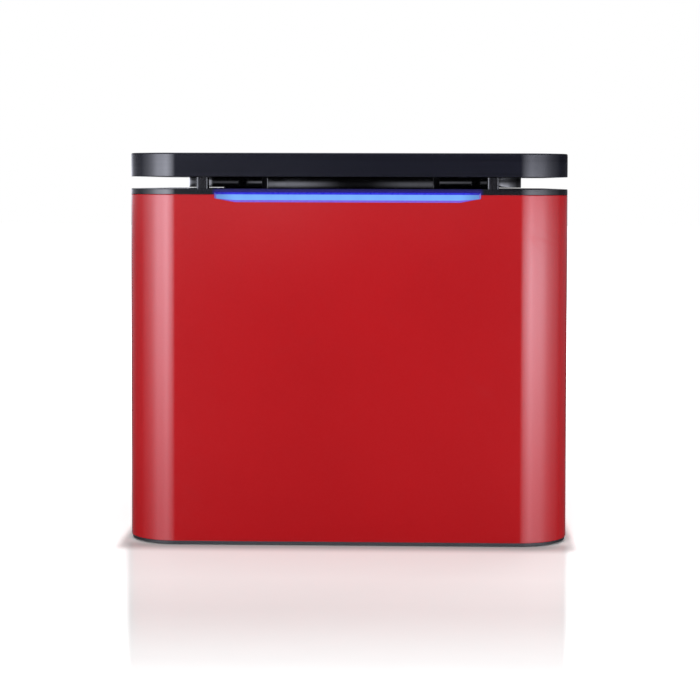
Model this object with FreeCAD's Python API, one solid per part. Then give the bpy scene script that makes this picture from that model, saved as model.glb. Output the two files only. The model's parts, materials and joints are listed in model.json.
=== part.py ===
"""Desktop real-time PCR machine: a red sleeve with a floating black lid over sixteen sample wells.

Millimetres. The front faces -Y, +X is to the right and +Z is up. The origin is on the floor, under the
middle of the footprint.
"""

import FreeCAD, Part
import math
import os

V = FreeCAD.Vector
X_AXIS, Y_AXIS, Z_AXIS = V(1, 0, 0), V(0, 1, 0), V(0, 0, 1)

# Outer form
WIDTH = 250.0
DEPTH = 240.0
CORNER_R = 28.5
FOOT_PROUD = 0.8
BASE_REVEAL = 1.4
SHELL_HEIGHT = 195.5
DECK_T = 3.2
LID_GAP = 6.8
LID_T = 13.3

# Sheet, wall and edge sizes
SHELL_WALL = 2.5
SHELL_BEVEL = 0.5
BASE_INSET = 0.6
BASE_TRAY_T = 2.0
DECK_SKIRT_H = 2.0
DECK_SKIRT_W = 3.0
DECK_BEVEL = 0.3
LID_WALL = 2.5
LID_TOP_T = 2.5
LID_BEVEL = 0.8
LID_BASE_T = 1.5
PANEL_T = 1.5
BOARD_T = 1.6

# Clearances
FIT = 0.2
SCREW_FIT = 0.1
PIN_FIT = 0.05
SLIDE_FIT = 0.2
REST_GAP = 0.3
HOUSING_GAP = 0.5

# Screws
SCREW_R = 1.5
SCREW_HEAD_R = 3.0
SCREW_HEAD_H = 1.5
SCREW_LENGTH = 12.0
LID_SCREW_LENGTH = 8.0
HINGE_SCREW_LENGTH = 4.0
BOSS_R = 5.0

# Feet
FOOT_R = 9.0
FOOT_POCKET = 0.8
FOOT_INSET = 33.0

# Intake slots in the base
SLOT_LENGTH = 26.0
SLOT_WIDTH = 3.2
SLOT_PITCH = 8.0
SLOT_COUNT = 8
SLOT_X = 48.0
SLOT_INSET = 24.0

# Light bar in the front of the sleeve
BAR_WIDTH = 149.3
BAR_HEIGHT = 4.7
BAR_BLUNT = 2.2
BAR_SLOPE = 11.5
BAR_LIP = 1.1
BAR_EASE = 9.0
BAR_FLANGE = 1.6
BAR_FLANGE_T = 2.6
BAR_LED_COUNT = 12
BAR_LED = (3.5, 2.0, 1.6)
BRACKET_T = 1.5
BRACKET_REACH = 14.0

# Posts that the lid comes down on
REST_X = 81.5
REST_WIDTH = 6.5
REST_DEPTH = 8.0
REST_INSET = 1.0
REST_POCKET = 1.0
REST_EDGE_R = 1.0
MAGNET_R = 2.0
MAGNET_H = 2.5
MAGNET_IN = 3.0
CATCH_R = 2.5
CATCH_H = 1.0

# Sample block, in the middle of the deck opening
HEAD_SETBACK = 88.0
WELL_PITCH = 9.0
WELL_COLUMNS = 8
WELL_ROWS = 2
WELL_R = 3.15
WELL_STRAIGHT = 5.0
WELL_TIP_R = 1.3
WELL_DEPTH = 15.5
BLOCK_RIM = 4.5
BLOCK_BELOW_DECK = 9.9
BLOCK_BODY_H = 16.0
BLOCK_FOOT_T = 4.0
BLOCK_FOOT_X = 92.0
BLOCK_FOOT_Y = 48.0
BLOCK_SCREW_IN = 2.8

# Peltier tiles
TILE = 40.0
TILE_T = 3.8
TILE_GAP = 1.0

# Heat sink
SINK_X = 130.0
SINK_Y = 88.0
SINK_BASE_T = 8.0
FIN_H = 42.0
FIN_T = 1.6
FIN_COUNT = 17
POST_R = 3.5
POST_IN = 5.0
POST_BORE = 9.0
THREAD_FLOOR = 2.0

# Deck opening and the funnel below it
OPENING_X = 108.0
OPENING_Y = 66.0
OPENING_R = 6.0
FUNNEL_T = 1.6
FUNNEL_FLANGE_T = 2.0
FUNNEL_CLEAR = 0.6
FUNNEL_END_R = 2.0

# Light guides and detector boards
GUIDE_R = 1.0
GUIDE_BORE_FIT = 0.05
GUIDE_BLOCK_Y = 13.0
GUIDE_BLOCK_X = 78.0
GUIDE_BLOCK_H = 11.0
GUIDE_RISE = 5.0
DIODE = (3.0, 0.9, 3.0)

# Heated plate and what carries it
PLATE_X = 92.0
PLATE_Y = 46.0
PLATE_T = 5.0
PLATE_R = 4.0
PLATE_TRAVEL = 2.0
CAP_HEIGHT = 5.0
WINDOW_R = 2.0
GUIDE_PIN_X = 40.0
GUIDE_PIN_Y = 17.5
GUIDE_PIN_R = 2.0
GUIDE_HEAD_R = 3.4
GUIDE_HEAD_T = 1.2
GUIDE_WEB = 1.6
SPRING_R = 3.4
SPRING_WIRE = 0.8
SPRING_TURNS = 2.5
MAT_T = 0.6
MAT_X = 68.0
MAT_Y = 26.0
FRAME_X = 105.0
FRAME_Y = 60.0
FRAME_WALL = 2.5
FRAME_R = 4.0
FRAME_DROP = 9.2

# Light source in the lid
LENS_T = 2.0
LENS_X = 84.0
LENS_Y = 30.0
SOURCE_X = 88.0
SOURCE_Y = 34.0
SOURCE_RISE = 4.6
SOURCE_LED = (3.0, 3.0, 0.8)

# Housing under the rear half of the lid
HOUSING_SIDE = 19.0
HOUSING_LEAD = 20.0
HOUSING_TAIL = 24.0
HOUSING_R = 17.0
HOUSING_BACK_R = 6.0
HOUSING_WALL = 2.0

# Lid hinges
HINGE_INSET = 3.0
KNUCKLE_R = 2.9
HINGE_PIN_R = 1.5
HINGE_X = 60.0
HINGE_LENGTH = 60.0
HINGE_LEAF_T = 1.2
HINGE_LEAF_DEPTH = 19.0
HINGE_SIDE_GAP = 0.3
HINGE_SCREW_X = 20.0
HINGE_SCREW_IN = 12.0
LEAF_CORNER_R = 2.5

# Rear window and panel
WINDOW_SIDE = 35.0
WINDOW_LOW = 9.0
WINDOW_DROP = 21.7
WINDOW_CORNER_R = 8.0
PANEL_LAP = 6.0
PANEL_SCREW_IN = 15.0
PANEL_SCREW_R = 1.25
PANEL_SCREW_HEAD_R = 2.2

# Fan
FAN_SIZE = 80.0
FAN_T = 25.0
FAN_DROP = 37.2
FAN_BORE_R = 38.5
FAN_CORNER_R = 4.0
FAN_HUB_R = 17.5
FAN_HUB_T = 18.0
FAN_TIP_R = 37.4
FAN_BLADES = 7
FAN_BLADE_T = 1.3
FAN_BLADE_CHORD = 19.0
FAN_BLADE_ANGLE = 52.0
FAN_SHAFT_R = 1.5
FAN_MOTOR_R = 16.0
FAN_MOTOR_T = 3.5
FAN_ARM_W = 4.0
FAN_ARMS = 4
FAN_END_GAP = 1.2
GRILLE_RINGS = 4
GRILLE_FIRST_R = 8.0
GRILLE_SLOT = 5.6
GRILLE_BAR = 2.0
GRILLE_SPOKE = 3.0

# Exhaust hood
DUCT_T = 1.6
DUCT_MOUTH = 6.0

# Power inlet
INLET_SIDE = 32.0
INLET_RISE = 33.0
INLET_BODY = (27.0, 19.5, 24.0)
INLET_FLANGE = (40.0, 24.0, 1.5)
INLET_FLANGE_R = 3.0
INLET_CAVITY = (24.0, 16.4, 18.0)
INLET_CHAMFER = 4.5
INLET_PIN = (4.0, 11.0, 2.0)
INLET_PIN_SPREAD = 7.0
INLET_PIN_RISE = 2.0

# Rocker switch
SWITCH_ABOVE = 28.0
SWITCH_FLANGE = (17.0, 24.0, 1.0)
SWITCH_FLANGE_R = 1.5
SWITCH_BODY = (13.0, 20.0, 16.0)
ROCKER_X = 8.6
ROCKER_Z = 15.6
ROCKER_SLOT_GAP = 0.5
ROCKER_ANGLE = 7.0
ROCKER_DEPTH = 4.5
ROCKER_SINK = 0.5
TRUNNION_R = 1.0
TRUNNION_REACH = 1.2

# Boards on the base
STANDOFF_R = 3.0
STANDOFF_H = 8.0
BOARD_SIDE = 10.5
BOARD_FRONT = 40.0
BOARD_GAP = 4.0
BOARD_EDGE = 5.0
MAIN_LEFT = 8.0
COMPUTER_DEPTH = 54.0
COMPUTER_IN = (10.0, 8.0)
CAPACITOR = (6.0, 18.0)
COOLER = (24.0, 16.0, 20.0)
COOLER_FINS = 5
CHIP = (12.0, 12.0, 1.6)
HEADER = (18.0, 8.0, 9.0)
PROCESSOR = (15.0, 15.0, 1.8)
JACK = (16.0, 21.0, 13.5)
JACK_IN = 24.0
USB = (14.5, 16.0, 7.0)
USB_IN = 28.0
PORT_WALL = 1.0
PORT_FIT = 0.3
SUPPLY_RIGHT = -14.0
SUPPLY_H = 34.0
WIRING_ROOM = 49.5
SUPPLY_SHEET = 1.0
SUPPLY_SLOTS = 8
TERMINAL_STRIP = (56.0, 12.0, 16.0)
TERMINAL_BAY = 5.5
TERMINAL_WALL = 2.5
TERMINAL_COUNT = 7

# Levels, from the floor up
Z_BASE = FOOT_PROUD
Z_SHELL = Z_BASE + BASE_REVEAL
Z_FLOOR = Z_SHELL + BASE_TRAY_T
Z_SHELL_TOP = Z_SHELL + SHELL_HEIGHT
Z_DECK = Z_SHELL_TOP + DECK_T
Z_LID = Z_DECK + LID_GAP
Z_TOP = Z_LID + LID_T
Z_LID_INSIDE = Z_LID + LID_BASE_T
Z_BLOCK_TOP = Z_DECK - BLOCK_BELOW_DECK
Z_BLOCK_FOOT = Z_BLOCK_TOP - BLOCK_BODY_H
Z_BLOCK = Z_BLOCK_FOOT - BLOCK_FOOT_T
Z_SINK = Z_BLOCK - TILE_T
Z_SINK_BASE = Z_SINK - SINK_BASE_T
Z_FINS = Z_SINK_BASE - FIN_H
Z_FUNNEL_FLANGE = Z_SHELL_TOP - FUNNEL_FLANGE_T
Z_PLATE = Z_BLOCK_TOP + CAP_HEIGHT
Z_PLATE_TOP = Z_PLATE + PLATE_T
Z_BOARD = Z_FLOOR + STANDOFF_H
Z_HINGE = Z_DECK + LID_GAP / 2

# Planes across the depth
Y_FRONT = -DEPTH / 2
Y_BACK = DEPTH / 2
Y_FRONT_INSIDE = Y_FRONT + SHELL_WALL
Y_BACK_INSIDE = Y_BACK - SHELL_WALL
Y_PANEL = Y_BACK_INSIDE - PANEL_T
Y_FAN = Y_PANEL - FAN_T
Y_HINGE = Y_BACK - HINGE_INSET
HINGE_SCREW_Y = Y_HINGE - HINGE_SCREW_IN
HEAD_Y = Y_FRONT + HEAD_SETBACK
Y_SINK_BACK = HEAD_Y + SINK_Y / 2

# Base and housing, set in from the outer form
FOOT_X = WIDTH / 2 - FOOT_INSET
FOOT_Y = DEPTH / 2 - FOOT_INSET
SLOT_Y = Y_FRONT + SLOT_INSET
HOUSING_X = WIDTH - 2 * HOUSING_SIDE
HOUSING_FRONT = HEAD_Y + FRAME_Y / 2 + HOUSING_LEAD
HOUSING_BACK = Y_BACK - HOUSING_TAIL

# Rear window and what its panel carries
WINDOW_X = WIDTH - 2 * WINDOW_SIDE
WINDOW_HIGH = Z_SHELL_TOP - WINDOW_DROP
PANEL_SCREW_X = (WINDOW_X + PANEL_LAP) / 2
PANEL_SCREW_LOW = WINDOW_LOW + PANEL_SCREW_IN
PANEL_SCREW_HIGH = WINDOW_HIGH - PANEL_SCREW_IN
FAN_Z = Z_SINK - FAN_DROP
INLET_X = INLET_SIDE - WINDOW_X / 2
INLET_Z = WINDOW_LOW + INLET_RISE
SWITCH_X = INLET_X
SWITCH_Z = INLET_Z + SWITCH_ABOVE

# Boards and power supply, set in from the sleeve and the panel
BOARD_RIGHT = WIDTH / 2 - SHELL_WALL - BOARD_SIDE
COMPUTER_X = (MAIN_LEFT + COMPUTER_IN[0], BOARD_RIGHT - COMPUTER_IN[1])
COMPUTER_Y = (Y_PANEL - BOARD_GAP - COMPUTER_DEPTH, Y_PANEL - BOARD_GAP)
MAIN_X = (MAIN_LEFT, BOARD_RIGHT)
MAIN_Y = (Y_FRONT + BOARD_FRONT, COMPUTER_Y[0] - BOARD_GAP)
JACK_X = COMPUTER_X[0] + JACK_IN
USB_X = COMPUTER_X[1] - USB_IN
SUPPLY_X = (-BOARD_RIGHT, SUPPLY_RIGHT)
SUPPLY_Y = (MAIN_Y[0], Y_BACK_INSIDE - INLET_BODY[2] - WIRING_ROOM)

BLOCK_X = (WELL_COLUMNS - 1) * WELL_PITCH + 2 * WELL_R + 2 * BLOCK_RIM
BLOCK_Y = (WELL_ROWS - 1) * WELL_PITCH + 2 * WELL_R + 2 * BLOCK_RIM


def about(centre, size):
    """Low and high ends of a length centred on a place."""
    return centre - size / 2, centre + size / 2


def block(x, y, z):
    """Block from its low and high ends along each axis."""
    return Part.makeBox(x[1] - x[0], y[1] - y[0], z[1] - z[0], V(x[0], y[0], z[0]))


def edges_along(shape, axis, test=None):
    """Straight edges of a shape that run along an axis, with a test of their middle if one is given."""
    found = []
    for edge in shape.Edges:
        if edge.Curve.TypeId != "Part::GeomLine":
            continue
        if abs(edge.tangentAt(edge.FirstParameter).dot(axis)) < 0.999:
            continue
        middle = edge.valueAt((edge.FirstParameter + edge.LastParameter) / 2)
        if test is None or test(middle):
            found.append(edge)
    return found


def rounded_block(x, y, z, radius, axis=Z_AXIS):
    """Block whose four edges along one axis are rounded."""
    shape = block(x, y, z)
    return shape.makeFillet(radius, edges_along(shape, axis))


def rim_edges(shape, z):
    """Edges of a shape that lie wholly at one level."""
    return [e for e in shape.Edges if abs(e.BoundBox.ZMin - z) < 1e-4 and abs(e.BoundBox.ZMax - z) < 1e-4]


def rod(radius, base, axis, length):
    """Cylinder that starts at a point and runs along an axis."""
    return Part.makeCylinder(radius, length, base, axis)


def slab(inset, z):
    """Rounded slab of the outer footprint, set in all round, between two levels."""
    return rounded_block(about(0, WIDTH - 2 * inset), about(0, DEPTH - 2 * inset), z, CORNER_R - inset)


def upright_holes(places, z, length, radius=SCREW_R + SCREW_FIT):
    """Upright round cuts from one level, for screws unless a radius is given."""
    return [rod(radius, V(px, py, z), Z_AXIS, length) for px, py in places]


def mirrored(shape):
    """The same shape on the other side of the middle plane."""
    return shape.mirror(V(0, 0, 0), X_AXIS)


def fused(shapes):
    """One solid from shapes that meet."""
    return shapes[0].fuse(shapes[1:]).removeSplitter()


def group(shapes):
    """Several loose solids in one node."""
    return Part.makeCompound(shapes)


def four(x, y):
    """The four points at plus and minus x and y."""
    return [(sx * x, sy * y) for sx in (-1, 1) for sy in (-1, 1)]


def csk_profile(length, head_r, shank_r, grow):
    """Half section of a countersunk screw whose flat head lies at level 0, pointing down."""
    head, shank = head_r + grow, shank_r + grow
    points = [V(0, 0, 0), V(head, 0, 0), V(shank, 0, shank - head), V(shank, 0, -length), V(0, 0, -length)]
    return Part.Face(Part.makePolygon(points + [points[0]]))


def csk_screw(place, direction, length, head_r=SCREW_HEAD_R, shank_r=SCREW_R, grow=0.0):
    """Countersunk screw with its head flush at a place, driven along a direction."""
    screw = csk_profile(length, head_r, shank_r, grow).revolve(V(0, 0, 0), Z_AXIS, 360)
    turn = FreeCAD.Rotation(V(0, 0, -1), direction)
    screw.Placement = FreeCAD.Placement(place, turn)
    return screw


def csk_hole(place, direction, length, head_r=SCREW_HEAD_R, shank_r=SCREW_R):
    """Seat and clearance hole for a countersunk screw."""
    return csk_screw(place, direction, length, head_r, shank_r, SCREW_FIT)


# Sleeve


def boss_centres():
    """Centres of the four screw bosses, on the diagonals of the sleeve's corners."""
    inner_r = CORNER_R - SHELL_WALL
    reach = (inner_r - BOSS_R + SHELL_WALL / 2) / math.sqrt(2)
    return four(WIDTH / 2 - CORNER_R + reach, DEPTH / 2 - CORNER_R + reach)


def bar_outline(y, grow=0.0, rise=0.0):
    """Front outline of the light bar between two planes: flat top, blunt ends, eased slopes below."""
    half = BAR_WIDTH / 2 + grow
    foot = BAR_WIDTH / 2 - BAR_SLOPE + grow
    top = Z_SHELL_TOP + rise
    shoulder = Z_SHELL_TOP - BAR_BLUNT
    bottom = Z_SHELL_TOP - BAR_HEIGHT - grow
    right = [(foot, bottom), (half, shoulder), (half, top)]
    points = [V(-cx, y[0], cz) for cx, cz in reversed(right)] + [V(cx, y[0], cz) for cx, cz in right]
    face = Part.Face(Part.makePolygon(points + [points[0]]))
    bar = face.extrude(V(0, y[1] - y[0], 0))
    return bar.makeFillet(BAR_EASE, edges_along(bar, Y_AXIS, lambda p: abs(p.z - bottom) < 1e-4))


def panel_screw_places():
    """Places of the screws that hold the rear panel, in the back plane."""
    return [(sx * PANEL_SCREW_X, z) for sx in (-1, 1) for z in (PANEL_SCREW_LOW, PANEL_SCREW_HIGH)]


def outer_shell():
    """Red sleeve: rounded wall, corner bosses, notch for the light bar and window for the rear panel."""
    outside = slab(0, (Z_SHELL, Z_SHELL_TOP))
    outside = outside.makeChamfer(SHELL_BEVEL, rim_edges(outside, Z_SHELL) + rim_edges(outside, Z_SHELL_TOP))
    inside = slab(SHELL_WALL, (Z_SHELL - 1, Z_SHELL_TOP + 1))
    boss_z = (Z_FLOOR, Z_SHELL_TOP - DECK_SKIRT_H)
    bosses = [rod(BOSS_R, V(bx, by, boss_z[0]), Z_AXIS, boss_z[1] - boss_z[0]) for bx, by in boss_centres()]
    shell = fused([outside.cut(inside)] + [b.common(outside) for b in bosses])
    cuts = upright_holes(boss_centres(), Z_SHELL, SHELL_HEIGHT)
    cuts.append(bar_outline((Y_FRONT - 1, Y_FRONT_INSIDE + 1), SCREW_FIT, 1.0))
    window_y = (Y_BACK_INSIDE - 1, Y_BACK + 1)
    window_z = (WINDOW_LOW, WINDOW_HIGH)
    cuts.append(rounded_block(about(0, WINDOW_X), window_y, window_z, WINDOW_CORNER_R, Y_AXIS))
    for px, pz in panel_screw_places():
        place, length = V(px, Y_BACK, pz), SHELL_WALL + PANEL_T
        cuts.append(csk_hole(place, V(0, -1, 0), length, PANEL_SCREW_HEAD_R, PANEL_SCREW_R))
    return shell.cut(cuts)


# Base


def intake_slot(cx, cy):
    """One round-ended slot through the base."""
    z = (Z_BASE - 1, Z_FLOOR + 1)
    return rounded_block(about(cx, SLOT_WIDTH), about(cy, SLOT_LENGTH), z, SLOT_WIDTH / 2 - 0.01)


def base_plate():
    """Base with a visible black edge, a step that enters the sleeve, slots, foot pockets and screw seats."""
    base = fused([slab(BASE_INSET, (Z_BASE, Z_SHELL)), slab(SHELL_WALL + FIT, (Z_SHELL, Z_FLOOR))])
    cuts = upright_holes(four(FOOT_X, FOOT_Y), Z_BASE - 1, FOOT_POCKET + 1, FOOT_R + FIT)
    length = Z_FLOOR - Z_BASE + 1
    cuts += [csk_hole(V(bx, by, Z_BASE), Z_AXIS, length) for bx, by in boss_centres()]
    for side in (-1, 1):
        for i in range(SLOT_COUNT):
            offset = (i - (SLOT_COUNT - 1) / 2) * SLOT_PITCH
            cuts.append(intake_slot(side * SLOT_X + offset, SLOT_Y))
    return base.cut(cuts)


def feet():
    """Four rubber pads let into the base."""
    pads = []
    for fx, fy in four(FOOT_X, FOOT_Y):
        pad = rod(FOOT_R, V(fx, fy, 0), Z_AXIS, Z_BASE + FOOT_POCKET)
        pads.append(pad.makeChamfer(FOOT_PROUD / 2, rim_edges(pad, 0)))
    return group(pads)


def base_screws():
    """Four countersunk screws from the base into the bosses."""
    return group([csk_screw(V(bx, by, Z_BASE), Z_AXIS, SCREW_LENGTH) for bx, by in boss_centres()])


# Deck


def sink_post_places():
    """Places of the four posts that hang the heat sink."""
    return [(px, HEAD_Y + py) for px, py in four(SINK_X / 2 - POST_IN, SINK_Y / 2 - POST_IN)]


def hinge_screw_places():
    """Places of the screws in the hinge leaves."""
    return [(side * HINGE_X + s * HINGE_SCREW_X, HINGE_SCREW_Y) for side in (-1, 1) for s in (-1, 1)]


def rest_block(grow, z):
    """Outline of one lid post, between two levels."""
    y = (Y_FRONT + REST_INSET - grow, Y_FRONT + REST_INSET + REST_DEPTH + grow)
    return rounded_block(about(REST_X, REST_WIDTH + 2 * grow), y, z, REST_EDGE_R)


def top_deck():
    """Deck plate with a skirt inside the sleeve, an opening over the wells and seats for what it carries."""
    plate = slab(0, (Z_SHELL_TOP, Z_DECK))
    plate = plate.makeChamfer(DECK_BEVEL, rim_edges(plate, Z_DECK))
    out, inn = SHELL_WALL + FIT, SHELL_WALL + FIT + DECK_SKIRT_W
    skirt_z = (Z_SHELL_TOP - DECK_SKIRT_H, Z_SHELL_TOP)
    bay = block(about(0, BAR_WIDTH + 4 * BAR_FLANGE), (Y_FRONT, Y_FRONT + 2 * inn), skirt_z)
    pads = [rod(BOSS_R, V(bx, by, skirt_z[0]), Z_AXIS, DECK_SKIRT_H) for bx, by in boss_centres()]
    skirt = slab(out, skirt_z)
    skirt_ring = skirt.cut(slab(inn, skirt_z)).fuse([p.common(skirt) for p in pads]).cut(bay)
    deck = fused([plate, skirt_ring])
    through = (skirt_z[0] - 1, Z_DECK + 1)
    cuts = [rounded_block(about(0, OPENING_X), about(HEAD_Y, OPENING_Y), through, OPENING_R)]
    length = Z_DECK - skirt_z[0] + 1
    cuts += [csk_hole(V(bx, by, Z_DECK), V(0, 0, -1), length) for bx, by in boss_centres()]
    cuts += [csk_hole(V(px, py, Z_DECK), V(0, 0, -1), length) for px, py in sink_post_places()]
    cuts += upright_holes(hinge_screw_places(), Z_SHELL_TOP - 1, DECK_T + 2)
    pocket = rest_block(FIT / 2, (Z_DECK - REST_POCKET, Z_DECK + 1))
    cuts += [pocket, mirrored(pocket)]
    rebate = (Z_SHELL_TOP - 1, Z_SHELL_TOP + BAR_LIP + SCREW_FIT)
    cuts.append(block(about(0, BAR_WIDTH + 2 * SCREW_FIT), (Y_FRONT - 1, Y_FRONT_INSIDE + 2 * FIT), rebate))
    return deck.cut(cuts)


def deck_screws():
    """Screws from the deck into the corner bosses and into the posts of the heat sink."""
    corner = [csk_screw(V(bx, by, Z_DECK), V(0, 0, -1), SCREW_LENGTH) for bx, by in boss_centres()]
    middle = [csk_screw(V(px, py, Z_DECK), V(0, 0, -1), SCREW_LENGTH) for px, py in sink_post_places()]
    return group(corner + middle)


def magnet_place(side):
    """Axis of one lid post's magnet, clear of the lid's wall."""
    return V(side * REST_X, Y_FRONT + REST_INSET + REST_DEPTH - MAGNET_IN, 0)


def lid_rests():
    """Two posts at the front of the deck, each with a bore for its magnet."""
    top = Z_LID - REST_GAP
    post = rest_block(0, (Z_DECK - REST_POCKET, top))
    bore = rod(MAGNET_R + PIN_FIT, magnet_place(1) + V(0, 0, top - MAGNET_H), Z_AXIS, MAGNET_H + 1)
    post = post.cut(bore)
    return group([mirrored(post), post])


def rest_magnets():
    """A round magnet in the top of each post."""
    low = Z_LID - REST_GAP - MAGNET_H
    return group([rod(MAGNET_R, magnet_place(s) + V(0, 0, low), Z_AXIS, MAGNET_H) for s in (-1, 1)])


# Light bar


def light_bar():
    """Diffuser: the front fills the notch and a rebate in the deck; a wider flange lies behind the wall."""
    front = bar_outline((Y_FRONT, Y_FRONT_INSIDE + FIT), 0, BAR_LIP)
    y = (Y_FRONT_INSIDE + FIT, Y_FRONT_INSIDE + FIT + BAR_FLANGE_T)
    z = (Z_SHELL_TOP - BAR_HEIGHT - BAR_FLANGE, Z_SHELL_TOP)
    flange = rounded_block(about(0, BAR_WIDTH + 2 * BAR_FLANGE), y, z, BAR_FLANGE, Y_AXIS)
    return fused([front, flange])


Y_BAR_BACK = Y_FRONT_INSIDE + FIT + BAR_FLANGE_T
Y_LIGHT_BOARD = Y_BAR_BACK + BAR_LED[1] + FIT


def light_board():
    """Strip board that carries the light bar's lamps."""
    z = (Z_SHELL_TOP - BAR_HEIGHT - BAR_FLANGE, Z_SHELL_TOP - FIT)
    return block(about(0, BAR_WIDTH), (Y_LIGHT_BOARD, Y_LIGHT_BOARD + BOARD_T), z)


def bar_leds():
    """Row of lamps on the strip."""
    pitch = BAR_WIDTH / BAR_LED_COUNT
    z = about(Z_SHELL_TOP - BAR_HEIGHT / 2, BAR_LED[2])
    y = (Y_LIGHT_BOARD - BAR_LED[1], Y_LIGHT_BOARD)
    places = [(i - (BAR_LED_COUNT - 1) / 2) * pitch for i in range(BAR_LED_COUNT)]
    return group([block(about(lx, BAR_LED[0]), y, z) for lx in places])


def light_bracket():
    """Angle under the deck that holds the strip."""
    y0 = Y_LIGHT_BOARD + BOARD_T
    low = Z_SHELL_TOP - BAR_HEIGHT - 2 * BAR_FLANGE
    x = about(0, BAR_WIDTH)
    web = block(x, (y0, y0 + BRACKET_T), (low, Z_SHELL_TOP))
    leaf = block(x, (y0, y0 + BRACKET_REACH), (Z_SHELL_TOP - BRACKET_T, Z_SHELL_TOP))
    return fused([web, leaf])


# Wells, block and heat sink


def well_places():
    """Centres of the sample wells."""
    places = []
    for row in range(WELL_ROWS):
        for column in range(WELL_COLUMNS):
            wx = (column - (WELL_COLUMNS - 1) / 2) * WELL_PITCH
            wy = HEAD_Y + (row - (WELL_ROWS - 1) / 2) * WELL_PITCH
            places.append((wx, wy))
    return places


def well_cavity(wx, wy):
    """One well: straight mouth, then a taper to a flat tip."""
    mouth = Z_BLOCK_TOP - WELL_STRAIGHT
    tip = Z_BLOCK_TOP - WELL_DEPTH
    points = [
        V(0, 0, Z_BLOCK_TOP + 1),
        V(WELL_R, 0, Z_BLOCK_TOP + 1),
        V(WELL_R, 0, mouth),
        V(WELL_TIP_R, 0, tip),
        V(0, 0, tip),
    ]
    well = Part.Face(Part.makePolygon(points + [points[0]])).revolve(V(0, 0, 0), Z_AXIS, 360)
    well.translate(V(wx, wy, 0))
    return well


def guide_rows():
    """For each row of wells: the side it faces, and the places of its light guides across the width."""
    columns = [(c - (WELL_COLUMNS - 1) / 2) * WELL_PITCH for c in range(WELL_COLUMNS)]
    return [(-1, columns), (1, columns)]


Z_GUIDE = Z_BLOCK_FOOT + GUIDE_RISE
WELL_ROW_Y = (WELL_ROWS - 1) * WELL_PITCH / 2
Y_GUIDE_IN = BLOCK_Y / 2
Y_GUIDE_OUT = Y_GUIDE_IN + FIT + GUIDE_BLOCK_Y
GUIDE_IN_BLOCK = BLOCK_RIM - 1.0


def block_screw_places():
    """Screws that clamp the block's foot to the heat sink, outside the Peltier tiles."""
    x = BLOCK_FOOT_X / 2 - BLOCK_SCREW_IN
    y = BLOCK_FOOT_Y / 2 - BLOCK_SCREW_IN
    return [(px, HEAD_Y + py) for px, py in four(x, y)]


def sample_block():
    """Aluminium block with its wells, its foot flange and a hole into each well for a light guide."""
    z = (Z_BLOCK_FOOT, Z_BLOCK_TOP)
    body = rounded_block(about(0, BLOCK_X), about(HEAD_Y, BLOCK_Y), z, FUNNEL_END_R)
    foot = block(about(0, BLOCK_FOOT_X), about(HEAD_Y, BLOCK_FOOT_Y), (Z_BLOCK, Z_BLOCK_FOOT))
    solid = fused([body, foot])
    cuts = [well_cavity(wx, wy) for wx, wy in well_places()]
    for side, columns in guide_rows():
        start = HEAD_Y + side * WELL_ROW_Y
        reach = Y_GUIDE_IN - WELL_ROW_Y + 1
        bore = GUIDE_R + GUIDE_BORE_FIT
        cuts += [rod(bore, V(gx, start, Z_GUIDE), V(0, side, 0), reach) for gx in columns]
    return solid.cut(cuts + upright_holes(block_screw_places(), Z_BLOCK - 1, BLOCK_FOOT_T + 2))


def block_screws():
    """Pan screws that clamp the block down."""
    screws = []
    for px, py in block_screw_places():
        head = rod(SCREW_HEAD_R - 0.4, V(px, py, Z_BLOCK_FOOT), Z_AXIS, SCREW_HEAD_H)
        tip = Z_SINK_BASE + THREAD_FLOOR
        shank = rod(SCREW_R, V(px, py, tip), Z_AXIS, Z_BLOCK_FOOT - tip)
        screws.append(fused([head, shank]))
    return group(screws)


def thermal_modules():
    """Two Peltier tiles side by side under the block."""
    offset = (TILE + TILE_GAP) / 2
    return group([block(about(s * offset, TILE), about(HEAD_Y, TILE), (Z_SINK, Z_BLOCK)) for s in (-1, 1)])


def heat_sink():
    """Extruded sink: thick base with fins along the air path, tapped for the block and the posts."""
    base = block(about(0, SINK_X), about(HEAD_Y, SINK_Y), (Z_SINK_BASE, Z_SINK))
    pitch = (SINK_X - FIN_T) / (FIN_COUNT - 1)
    fins = []
    for i in range(FIN_COUNT):
        x0 = -SINK_X / 2 + i * pitch
        fins.append(block((x0, x0 + FIN_T), about(HEAD_Y, SINK_Y), (Z_FINS, Z_SINK_BASE)))
    sink = fused([base] + fins)
    floor = Z_SINK_BASE + THREAD_FLOOR - SCREW_FIT
    return sink.cut(upright_holes(block_screw_places(), floor, SINK_BASE_T))


def sink_posts():
    """Four posts between the heat sink and the funnel's flange."""
    posts = []
    for px, py in sink_post_places():
        post = rod(POST_R, V(px, py, Z_SINK), Z_AXIS, Z_FUNNEL_FLANGE - Z_SINK)
        hole = rod(SCREW_R + SCREW_FIT, V(px, py, Z_FUNNEL_FLANGE - POST_BORE), Z_AXIS, POST_BORE + 1)
        posts.append(post.cut(hole))
    return group(posts)


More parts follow.
